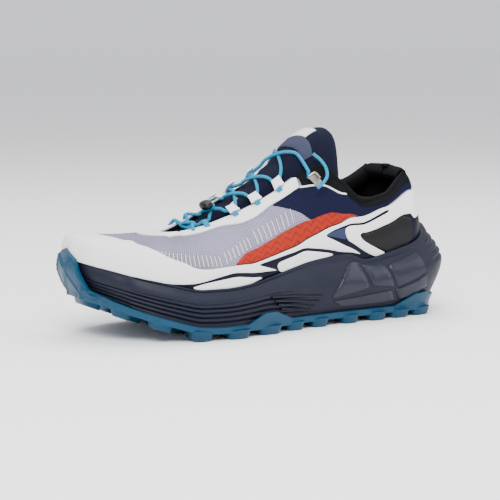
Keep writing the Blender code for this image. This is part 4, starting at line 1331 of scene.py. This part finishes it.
def sole_depth(rise):
    """How far the midsole's side is cut back at one rise, for each way round it."""
    ledged = fade(SOLE_SIDE, 1.50, 1.75) * (1 - fade(SOLE_SIDE, 2.92, 3.0))
    depth = LEDGE_DEPTH * (1 - fade(rise, 0.47, 0.53)) * fade(rise, 0.0, 0.04) * ledged
    for k in range(GROOVES):
        depth = depth + GROOVE_DEPTH * groove(rise, 0.09 + 0.095 * k, 0.018) * ledged
    heel = 1 - fade(SOLE_SIDE, 0.62, 0.86)
    for k in range(HEEL_GROOVES):
        depth = depth + HEEL_GROOVE_DEPTH * groove(rise, 0.58 + 0.10 * k, 0.026) * heel
    front = BUMPER_SEAT * fade(SOLE_SIDE, BUMPER_BACK - 0.1, BUMPER_BACK)
    along = (1 - fade(SOLE_SIDE, 2.5, 2.8)) * fade(SOLE_SIDE, 0.9, 1.1)
    waist = WAIST_GROOVE_DEPTH * groove(rise, 0.93, 0.02) * along
    return np.maximum(depth + waist, front)


def sole_skin(way, rise, lift=0.0):
    """A point on the sole's side, lifted off it along its normal."""
    out = normal(SOLE_RINGS, way, rise)
    return surface(SOLE_RINGS, way, rise) + out * np.asarray(lift)[..., None]


def build_midsole():
    """The foam wedge with its grooves and ledge, and the bed under the insole."""
    rows = []
    for rise in np.linspace(0, 1, MIDSOLE_ROWS):
        depth = sole_depth(rise)
        out = normal(SOLE_RINGS, SOLE_WAYS, rise)
        rows.append(surface(SOLE_RINGS, SOLE_WAYS, rise) - out * depth[:, None])
    rim = surface(SOLE_RINGS, SOLE_WAYS, 1.0)
    lip_rise = rise_at(UPPER_RINGS, SOLE_WAYS, rim[:, 2])
    lip = surface(UPPER_RINGS, SOLE_WAYS, lip_rise, grow=0.0002)
    rows[-1] = between(rows[-2], rim, 0.55)
    rows.append(between(rim, lip, 0.18) + (0, 0, 0.0001))
    rows.append(between(rim, lip, 0.6))
    rows.append(lip - (0, 0, 0.0005))
    rows.append(ring("feather", SOLE_WAYS, 0.0002) - (0, 0, GAP))
    rows.append(ring("feather", SOLE_WAYS, -BED_INSET) - (0, 0, GAP))
    foot = ring("bottom", SOLE_WAYS, -BED_INSET)
    grid = np.array([foot] + rows)
    up = np.arange(len(grid)) * 0.0006
    uv = grid_uv(SOLE_WAYS * WAY_LENGTH, up)
    midsole = grid_object("midsole_foam", grid, uv, finish_of("foam"), closed_columns=True)
    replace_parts(midsole, "midsole")
    bed = np.array([ring("feather", SOLE_WAYS, -grow) - (0, 0, GAP) for grow in (0.0101, 0.030)])
    grid_object("midsole_bed", bed, uv[:2], finish_of("foam"), closed_columns=True)


FIN_RADIUS = 0.0009


def build_facets():
    """The facets and fins on the foam's side."""
    for index, corners in enumerate(FACETS):
        for side, points in (("lateral", corners), ("medial", mirrored(corners))):
            outline = spaced(rounded(points, 0.0014), 0.003)
            name = f"facet_{index}_{side}"
            patch(name, outline, sole_skin, FACET_FOOT, FACET_HEIGHT, finish_of("facet"), 0.003, 0.0009, 0.3)
    for index, (way_a, rise_a, way_b, rise_b) in enumerate(zip(*FINS.values())):
        for side in ("lateral", "medial"):
            route = []
            for share in np.linspace(0, 1, 5):
                way, rise = between(way_a, way_b, share), between(rise_a, rise_b, share)
                place = way if side == "lateral" else 6 - way
                cut = float(LEDGE_DEPTH * (1 - fade(rise, 0.47, 0.53)) * fade(way, 1.50, 1.75))
                route.append(sole_skin(place, rise, 0.0002 - cut))
            tube(f"fin_{index}_{side}", route, FIN_RADIUS, finish_of("foam"), 24, 8)


def build_outsole():
    """The tread's rim and toe bumper, its underside and its lugs."""
    rows_in, rows_out = [], []
    thick = between(BAND, BUMPER_THICKNESS, fade(SOLE_SIDE, BUMPER_BACK, BUMPER_FRONT))
    away = normal(SOLE_RINGS, SOLE_WAYS, 0.5) * (1, 1, 0)
    away = unit(away)
    shares = np.linspace(0, 1, 22)
    toe = fade(SOLE_SIDE, 2.62, 2.76)
    for share in shares:
        loop = band_side(share)
        cross = np.abs(((SOLE_SIDE - 2.9) / RIDGE_WAY) % 2 - 1)
        ridge = RIDGE_HEIGHT * toe * (1 - fade(np.abs(cross - np.abs(2 * share - 1)), 0.0, 0.25))
        rows_in.append(loop)
        rows_out.append(loop + away * (thick + ridge - 0.0004 * toe)[:, None])
    crown = between(rows_in[-1], rows_out[-1], 0.5) + (0, 0, 0.0004)
    floor_out = rows_out[0] - (0, 0, GAP + PLATE)
    floor_in = ring("bottom", SOLE_WAYS, -0.012) * (1, 1, 0) + (0, 0, 1) * floor_out[:, 2:3]
    middle = floor_in * (1, 0.02, 1)
    mid_out = rows_out[0] - (0, 0, (GAP + PLATE) * 0.5)
    corner = floor_out - away * 0.0004
    grid = np.array([middle, floor_in, corner, mid_out] + rows_out + [crown] + rows_in[::-1])
    up = np.arange(len(grid)) * 0.001
    uv = grid_uv(SOLE_WAYS * WAY_LENGTH, up)
    plate = grid_object("outsole_rubber", grid, uv, finish_of("rubber"), closed_columns=True)
    pieces = [plate] + [lug(*row) for row in zip(*LUGS.values())]
    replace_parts(join("outsole_rubber", pieces), "outsole")


def half_width(station, side):
    """The tread's edge at a station, as its y."""
    way = np.linspace(0.02, 2.98, 297)
    edge = ring("bottom", way if side < 0 else 6 - way, BAND)
    return float(np.interp(station, 0.5 - (edge[:, 0] - MIDDLE_X) / LENGTH, edge[:, 1]))


# A lug's plan, as shares of its length and width, and its height and size at each level
LUG_PLAN = (
    (-0.5, -0.38),
    (-0.32, -0.5),
    (0.32, -0.5),
    (0.5, -0.38),
    (0.5, 0.38),
    (0.32, 0.5),
    (-0.32, 0.5),
    (-0.5, 0.38),
)
LUG_LEVELS = ((1.0, 1.0), (0.10, 0.84), (0.0, 0.76))


def lug(station, across, long, wide, turn):
    """One lug: a tapered block with cut corners."""
    medial, lateral = half_width(station, 1), half_width(station, -1)
    step = 0.01
    slope = (ground(station + step) - ground(station - step)) / (2 * step * LENGTH)
    length, width = long * BALL_WIDTH, wide * BALL_WIDTH
    angle = np.radians(turn)
    centre_y = between(lateral, medial, (across + 1) / 2) - across * wide * BALL_WIDTH * 0.12
    points = []
    for level, size in LUG_LEVELS:
        for px, py in LUG_PLAN:
            x, y = px * length * size, py * width * size
            x, y = x * np.cos(angle) - y * np.sin(angle), x * np.sin(angle) + y * np.cos(angle)
            rise = max(float(ground(station)) - slope * x, 0.0)
            place = (MIDDLE_X + LENGTH * (0.5 - station) + x, centre_y + y)
            points.append((*place, rise + level * (LUG_HEIGHT + PLATE * 0.6)))
    corners = len(LUG_PLAN)
    faces = grid_faces(len(LUG_LEVELS), corners, closed_columns=True)
    faces.append(tuple(range(len(points) - corners, len(points))))
    faces.append(tuple(range(corners - 1, -1, -1)))
    obj = new_object("lug", points, faces, np.array(points)[:, :2])
    outward(obj)
    obj.data.materials.append(finish_of("rubber"))
    return obj


# Tongue

TONGUE_WAYS = 90
TONGUE_ACROSS = 49
# Depths of the padding in metres, and the ribs' pitch as a way
QUILT_RIB, QUILT_BAND, QUILT_ROLL = 0.0005, 0.0009, 0.0012
QUILT_PITCH = 0.045
STRIPE = ((1.845, 0.36), (1.80, 0.42), (1.79, 0.46))


def tongue_grid():
    """Points and outward directions over the tongue's finished face."""
    ways = np.linspace(TONGUE["way"][0], TONGUE["way"][-1], TONGUE_WAYS)
    across = np.linspace(0, 1, TONGUE_ACROSS)
    face = []
    for way in ways:
        section = tongue_section(way)
        face.append([through(section, share) for share in across])
    face = np.array(face)
    out = np.cross(np.gradient(face, axis=0), np.gradient(face, axis=1))
    out = unit(out)
    out = out * np.where(out[:, TONGUE_ACROSS // 2, 2] > 0, 1, -1)[:, None, None]
    return ways, across, face, out


TONGUE_FACE = tongue_grid()


def on_tongue(way, across, lift=0.0):
    """A point over the tongue's face, read between its grid's points."""
    ways, shares, face, out = TONGUE_FACE
    row = np.interp(way, ways, np.arange(len(ways)))
    column = np.interp(across, shares, np.arange(len(shares)))
    i, j = int(min(row, len(ways) - 2)), int(min(column, len(shares) - 2))
    u, v = row - i, column - j
    found = []
    for grid in (face, out):
        low, high = between(grid[i, j], grid[i, j + 1], v), between(grid[i + 1, j], grid[i + 1, j + 1], v)
        found.append(between(low, high, u))
    return found[0] + found[1] / np.linalg.norm(found[1]) * lift


def quilting(way, across):
    """The tongue's padding: ribs low down, and soft bands above them."""
    centre = 1 - fade(np.abs(across - 0.5), 0.30, 0.42)
    ribs = QUILT_RIB * np.cos(way * 2 * np.pi / QUILT_PITCH) * fade(way, 1.56, 1.64) * centre
    bands = -QUILT_BAND * np.maximum(groove(way, 1.58, 0.012), groove(way, 1.46, 0.010)) * centre
    roll = -QUILT_ROLL * groove(way, 1.385, 0.008) * centre
    return ribs + bands + roll


def build_tongue():
    """The quilted tongue."""
    ways, across, face, out = TONGUE_FACE
    slim = 1 - 0.55 * np.abs(2 * across - 1) ** 3
    depth = TONGUE_THICKNESS * smooth(TONGUE["way"], TONGUE["thickness"], ways)[:, None] * slim
    depth = depth[..., None]
    top = face + out * quilting(ways[:, None], across[None, :])[..., None]
    back = face - out * depth
    loops = []
    for i in range(len(ways)):
        loops.append(np.concatenate([top[i], back[i][::-1]]))
    ahead = loops[0] + (loops[0] - loops[1]) * 0.8
    centre = ahead.reshape(2, -1, 3)
    middle = (centre[0] + centre[1][::-1]) / 2
    cap_line = np.concatenate([between(middle, centre[0], 0.55), between(middle[::-1], centre[1], 0.55)])
    close = np.concatenate([middle, middle[::-1]]) + (loops[0] - loops[1]) * 0.5
    grid = np.array([close, cap_line] + loops)
    around = np.concatenate([across, 1 + across]) * 0.06
    along = np.concatenate([[ways[0] - 0.02, ways[0] - 0.01], ways]) * WAY_LENGTH
    uv = grid_uv(around, along)
    tongue = grid_object("tongue_cloth", grid, uv, finish_of("tongue"), closed_columns=True)
    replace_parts(tongue, "tongue")


def plate(name, ways, shares, lift, height, finish, fine=9):
    """A thin plate over the tongue, between two ways and two shares across it."""
    rows = np.linspace(*ways, fine)
    columns = np.linspace(*shares, fine * 2)
    top, foot, uv = [], [], []
    for i, way in enumerate(rows):
        for j, share in enumerate(columns):
            edge = min(i, fine - 1 - i, j, 2 * fine - 1 - j) == 0
            top.append(on_tongue(way, share, lift + height * (0.45 if edge else 1.0)))
            foot.append(on_tongue(way, share, lift - 0.0004))
            uv.append((way * WAY_LENGTH, share * 0.06))
    faces = grid_faces(fine, fine * 2) + rim_faces(fine, fine * 2)
    obj = new_object(name, top + foot, faces, uv + uv)
    outward(obj)
    obj.data.materials.append(finish_of(finish))
    return obj


def build_tongue_pieces():
    """The tongue's lace band, label and stripe."""
    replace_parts(plate("tongue_loop", (1.470, 1.520), (0.24, 0.76), 0.0004, 0.0011, "ribbon"), "tongue_band")
    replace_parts(plate("tongue_patch", (1.405, 1.466), (0.42, 0.66), 0.0003, 0.0009, "label"), "tongue_label")
    route = [on_tongue(way, across, 0.0006) for way, across in STRIPE]
    tube("tongue_stripe", route, 0.0009, finish_of("label"), 16, 8, 0.5)


# Laces

CORD_RADIUS = LACE_DIAMETER / 2
# Where a crossing's cord goes: rise and height over the eyestay, then shares across the tongue
CORD_ENDS = ((0.89, -0.0006), (0.925, 0.0016), (0.96, 0.0030), (1.0, 0.0034))
CORD_SHARES = (0.30, 0.36, 0.43, 0.50, 0.57, 0.64, 0.70)
TABS = ((1.86, 1.815), (1.76, 1.71), (1.65, 1.605))
TAB_REACH, TAB_BACK, TAB_HEIGHT = 0.0058, 0.0050, 0.0010
TAB_TOP, TAB_CROWN = 0.0042, 0.0005
# Near the throat's edge, one metre up the skin is about this much rise
RISE_PER_METRE = 10


def lace_points(lateral_way, medial_way, lift):
    """The route of one crossing, with its ends turned down into the eyelets."""
    points = []
    aside = EYELET_SPREAD * np.sign(medial_way - lateral_way)
    for way in (lateral_way + aside, 6 - medial_way + aside):
        ends = []
        for rise, off in CORD_ENDS:
            ends.append(skin(way, rise, off))
        points.append(ends)
    over = []
    for across in CORD_SHARES:
        way = between(lateral_way, medial_way, (across - 0.17) / 0.66)
        bump = lift * np.cos((across - 0.5) * np.pi / 0.5)
        over.append(on_tongue(way, across, CORD_RADIUS + 0.0004 + bump))
    return points[0] + over + points[1][::-1]


def build_laces():
    """The crossings of the lace, from the lowest eyelets to the top."""
    runs = [(EYELETS[0], EYELETS[0], 0.0)]
    for low, high in zip(EYELETS, EYELETS[1:]):
        runs += [(low, high, 0.0), (high, low, LACE_DIAMETER * 0.85)]
    braided = finish_of("lace")
    pieces = [tube("lace", lace_points(*run), CORD_RADIUS, braided, 90, 14) for run in runs]
    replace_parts(join("lace_cord", pieces), "laces")


def tab(name, ways, medial):
    """A tab that stands past the throat's edge."""
    rows, columns = 13, 9
    low, high = ways
    top, foot = [], []
    for t in np.linspace(0, 1, rows):
        for w in np.linspace(0, 1, columns):
            pinch = 1 - 0.22 * t
            way = between(low, high, 0.5 + (w - 0.5) * pinch)
            way = 6 - way if medial else way
            edge = skin(way, 1.0)
            inner = unit(edge - skin(way, 0.93))
            reach = between(-TAB_BACK, TAB_REACH, t)
            point = skin(way, 1.0 + reach * RISE_PER_METRE) if reach < 0 else edge + inner * reach
            out = normal(UPPER_RINGS, way, 0.96)
            border = t in (0.0, 1.0) or w in (0.0, 1.0)
            top.append(point + out * (TAB_TOP + (0.0 if border else TAB_CROWN)))
            foot.append(point + out * (TAB_TOP - TAB_HEIGHT))
    count = len(top)
    faces = grid_faces(rows, columns)
    faces += [tuple(i + count for i in face[::-1]) for face in grid_faces(rows, columns)]
    faces += rim_faces(rows, columns)
    uv = np.array(top + foot)[:, :2]
    obj = new_object(name, top + foot, faces, uv)
    outward(obj)
    obj.data.materials.append(finish_of("white"))
    return obj


def build_tabs():
    """The three tabs on each side of the throat."""
    for index, ways in enumerate(TABS):
        for medial in (False, True):
            tab(f"tab_{index}_{'medial' if medial else 'lateral'}", ways, medial)


# Small pieces

LOCK_WAY, LOCK_ACROSS, LOCK_LIFT = 1.92, 0.46, 0.0084
LOCK_SIZE = (0.0060, 0.0040, 0.0030)
# The lock's wire link: across and along from its middle
LINK = (
    (-0.0035, 0.0),
    (-0.0040, 0.0055),
    (-0.0022, 0.0095),
    (0.0018, 0.0095),
    (0.0036, 0.0055),
    (0.0032, 0.0),
)
LINK_RADIUS = 0.0007
CLIP = ((1.515, 0.91), (1.485, 0.95), (1.45, 0.82), (1.48, 0.76))
# The clip's bar: way, rise and lift of each of its points
CLIP_BAR = ((1.508, 0.905, 0.0036), (1.480, 0.935, 0.0040), (1.460, 0.86, 0.0040))
CLIP_BAR_RADIUS = 0.0008
LACE_END = (
    (0.0302, -0.0225, 0.1185),
    (0.0332, -0.0270, 0.1145),
    (0.0347, -0.0315, 0.1095),
    (0.0337, -0.0350, 0.1040),
    (0.0297, -0.0365, 0.0995),
    (0.0252, -0.0360, 0.0960),
)


def build_lock():
    """An oval body with a wire link through it."""
    centre = on_tongue(LOCK_WAY, LOCK_ACROSS)
    up = on_tongue(LOCK_WAY, LOCK_ACROSS, 1.0) - centre
    along = on_tongue(LOCK_WAY - 0.03, LOCK_ACROSS) - centre
    along = unit(along - up * (along @ up))
    over = np.cross(up, along)
    rows, columns = 20, 36
    grid = []
    for turn in np.linspace(-np.pi / 2, np.pi / 2, rows):
        around = np.linspace(0, 2 * np.pi, columns, endpoint=False)
        wide = np.cos(turn)
        height = np.full(columns, np.sin(turn))
        flat = np.stack([wide * np.cos(around), wide * np.sin(around), height], axis=1)
        flat = np.sign(flat) * np.abs(flat) ** 0.8 * LOCK_SIZE
        grid.append(centre + up * LOCK_LIFT + flat[:, :1] * over + flat[:, 1:2] * along + flat[:, 2:] * up)
    uv = np.zeros((rows, columns, 2))
    lock = grid_object("cord_lock_body", np.array(grid), uv, finish_of("plastic"), closed_columns=True)
    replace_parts(lock, "cord_lock")
    middle = centre + up * LOCK_LIFT
    link = [middle + over * x + along * y + up * 0.0008 for x, y in LINK]
    tube("lock_link", link, LINK_RADIUS, finish_of("steel"), 40, 10)


def build_clip():
    """The steel clip low on the eyestay, with its bent bar."""
    clip = panel("clip_plate", CLIP, 0.0018, 0.0012, "steel", 0.0010, 0.0015)
    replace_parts(clip, "lace_clip")
    bar = [skin(*point) for point in CLIP_BAR]
    tube("clip_bar", bar, CLIP_BAR_RADIUS, finish_of("steel"), 20, 8)


def build_lace_end():
    """The free end of the lace."""
    route = [np.array(point) for point in LACE_END]
    end = tube("lace_end_cord", route, CORD_RADIUS, finish_of("lace"), 60, 14)
    path = [tuple(through(route, share)) for share in np.linspace(0, 1, 60)]
    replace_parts(end, "lace_end")


def build_pull_tab():
    """A loop of webbing on the collar's back."""
    rows, columns = 16, 9
    ways = np.linspace(-0.07, 0.07, columns) % 6
    top = [skin(ways, rise, 0.0017) for rise in np.linspace(0.84, 1.0, 10)]
    out = normal(UPPER_RINGS, ways, 0.9) * (1, 1, 0)
    out = unit(out)
    edge = top[-1]
    for turn in np.linspace(0, np.pi, rows - 4)[1:]:
        lift = np.sin(turn) * PULL_TAB_HEIGHT * 0.38
        top.append(edge - out * (1 - np.cos(turn)) * 0.0035 + np.array([0, 0, 1]) * lift)
    grid = np.array(top)
    uv = grid_uv(np.linspace(0, 0.011, columns), np.linspace(0, 0.03, len(top)))
    obj = grid_object("pull_loop", grid, uv, finish_of("ribbon"))
    obj.data.materials[0] = finish_of("lining")
    thick = obj.modifiers.new("thickness", "SOLIDIFY")
    thick.thickness = 0.0010
    thick.offset = 0
    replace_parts(obj, "pull_tab")


# Stage

EYE_AZIMUTH, EYE_ELEVATION, EYE_DISTANCE = -30.0, 7.5, 1.0736
EYE_TARGET = (-0.007368, 0.000066, 0.0512)
FIELD_OF_VIEW = 18.5


def area_light(name, place, size, power, colour=(1, 1, 1)):
    """A soft rectangular light aimed just over the floor."""
    light = bpy.data.lights.new(name, "AREA")
    light.shape = "RECTANGLE"
    light.size, light.size_y = size
    light.energy = power
    light.color = colour
    lamp = bpy.data.objects.new(name, light)
    bpy.context.scene.collection.objects.link(lamp)
    lamp.location = place
    lamp.rotation_euler = (Vector((0, 0, 0.05)) - Vector(place)).to_track_quat("-Z", "Y").to_euler()


def build_stage(looks):
    """The floor, the backdrop, three lights and the camera."""
    floor = bpy.data.meshes.new("floor")
    floor.from_pydata([(-60, -60, 0), (60, -60, 0), (60, 60, 0), (-60, 60, 0)], [], [(0, 1, 2, 3)])
    ground_plane = bpy.data.objects.new("floor", floor)
    bpy.context.scene.collection.objects.link(ground_plane)
    ground_plane.location.z = -0.0001
    paper = Graph("floor", (looks.floor, looks.floor, looks.floor), 0.9)
    floor.materials.append(paper.material)
    world = bpy.data.worlds.new("studio")
    bpy.context.scene.world = world
    world.use_nodes = True
    backdrop = world.node_tree.nodes["Background"]
    backdrop.inputs["Color"].default_value = (0.95, 0.96, 1.0, 1)
    backdrop.inputs["Strength"].default_value = looks.sky
    area_light("key", (-0.6, -0.9, 1.1), (0.9, 0.7), looks.key)
    area_light("fill", (0.9, -0.7, 0.7), (0.9, 0.9), looks.fill)
    area_light("top", (0.1, 0.3, 1.3), (1.2, 0.9), looks.top)
    camera = bpy.data.cameras.new("camera")
    camera.angle = np.radians(FIELD_OF_VIEW)
    eye = bpy.data.objects.new("camera", camera)
    bpy.context.scene.collection.objects.link(eye)
    a, e = np.radians(EYE_AZIMUTH), np.radians(EYE_ELEVATION)
    back = Vector((np.sin(a) * np.cos(e), -np.cos(a) * np.cos(e), np.sin(e)))
    eye.location = Vector(EYE_TARGET) + back * EYE_DISTANCE
    eye.rotation_euler = back.to_track_quat("Z", "Y").to_euler()
    bpy.context.scene.camera = eye


# Add-on


class ShoeLooks(bpy.types.PropertyGroup):
    """Settings of the shoe's looks."""

    sky: bpy.props.FloatProperty(
        name="Sky", description="Strength of the even light", default=1.0, min=0
    )
    key: bpy.props.FloatProperty(
        name="Key", description="Power of the main light", default=30.0, min=0, unit="POWER"
    )
    fill: bpy.props.FloatProperty(
        name="Fill", description="Power of the fill light", default=7.0, min=0, unit="POWER"
    )
    top: bpy.props.FloatProperty(
        name="Top", description="Power of the top light", default=16.0, min=0, unit="POWER"
    )
    floor: bpy.props.FloatProperty(
        name="Floor", description="Brightness of the floor", default=0.98, min=0, max=1, subtype="FACTOR"
    )


class SHOE_OT_upper(bpy.types.Operator):
    """Build the upper with its panels, tabs and stitches"""

    bl_idname = "shoe.upper"
    bl_label = "Build upper"

    def execute(self, context):
        build_upper()
        build_panels()
        build_stitches()
        build_tabs()
        return {"FINISHED"}


class SHOE_OT_sole(bpy.types.Operator):
    """Build the midsole with its facets and the outsole, and line the insole"""

    bl_idname = "shoe.sole"
    bl_label = "Build sole"

    def execute(self, context):
        build_midsole()
        build_facets()
        build_outsole()
        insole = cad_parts["insole"].data.materials
        insole.clear()
        insole.append(finish_of("lining"))
        return {"FINISHED"}


class SHOE_OT_tongue(bpy.types.Operator):
    """Build the tongue with its lace loop, label and stripe"""

    bl_idname = "shoe.tongue"
    bl_label = "Build tongue"

    def execute(self, context):
        build_tongue()
        build_tongue_pieces()
        return {"FINISHED"}


class SHOE_OT_laces(bpy.types.Operator):
    """Build the laces, the lock, the clip, the lace's end and the pull tab"""

    bl_idname = "shoe.laces"
    bl_label = "Build laces"

    def execute(self, context):
        build_laces()
        build_lock()
        build_clip()
        build_lace_end()
        build_pull_tab()
        return {"FINISHED"}


class SHOE_OT_stage(bpy.types.Operator):
    """Build the floor, the lights and the camera"""

    bl_idname = "shoe.stage"
    bl_label = "Build stage"

    def execute(self, context):
        build_stage(context.scene.shoe_looks)
        return {"FINISHED"}


OPERATORS = (SHOE_OT_upper, SHOE_OT_sole, SHOE_OT_tongue, SHOE_OT_laces, SHOE_OT_stage)


class SHOE_PT_panel(bpy.types.Panel):
    """Buttons that build the shoe."""

    bl_label = "Trail running shoe"
    bl_space_type = "VIEW_3D"
    bl_region_type = "UI"
    bl_category = "Shoe"

    def draw(self, context):
        for made in OPERATORS:
            self.layout.operator(made.bl_idname)
        for name in ShoeLooks.__annotations__:
            self.layout.prop(context.scene.shoe_looks, name)


CLASSES = (ShoeLooks, *OPERATORS, SHOE_PT_panel)


def register():
    """Adds the properties, the operators and the panel."""
    for made in CLASSES:
        bpy.utils.register_class(made)
    bpy.types.Scene.shoe_looks = bpy.props.PointerProperty(type=ShoeLooks)


def unregister():
    """Takes away what register added."""
    del bpy.types.Scene.shoe_looks
    for made in reversed(CLASSES):
        bpy.utils.unregister_class(made)


def main():
    """Runs every operator in turn."""
    register()
    for made in OPERATORS:
        group, name = made.bl_idname.split(".")
        getattr(getattr(bpy.ops, group), name)()


if __name__ == "__main__":
    main()
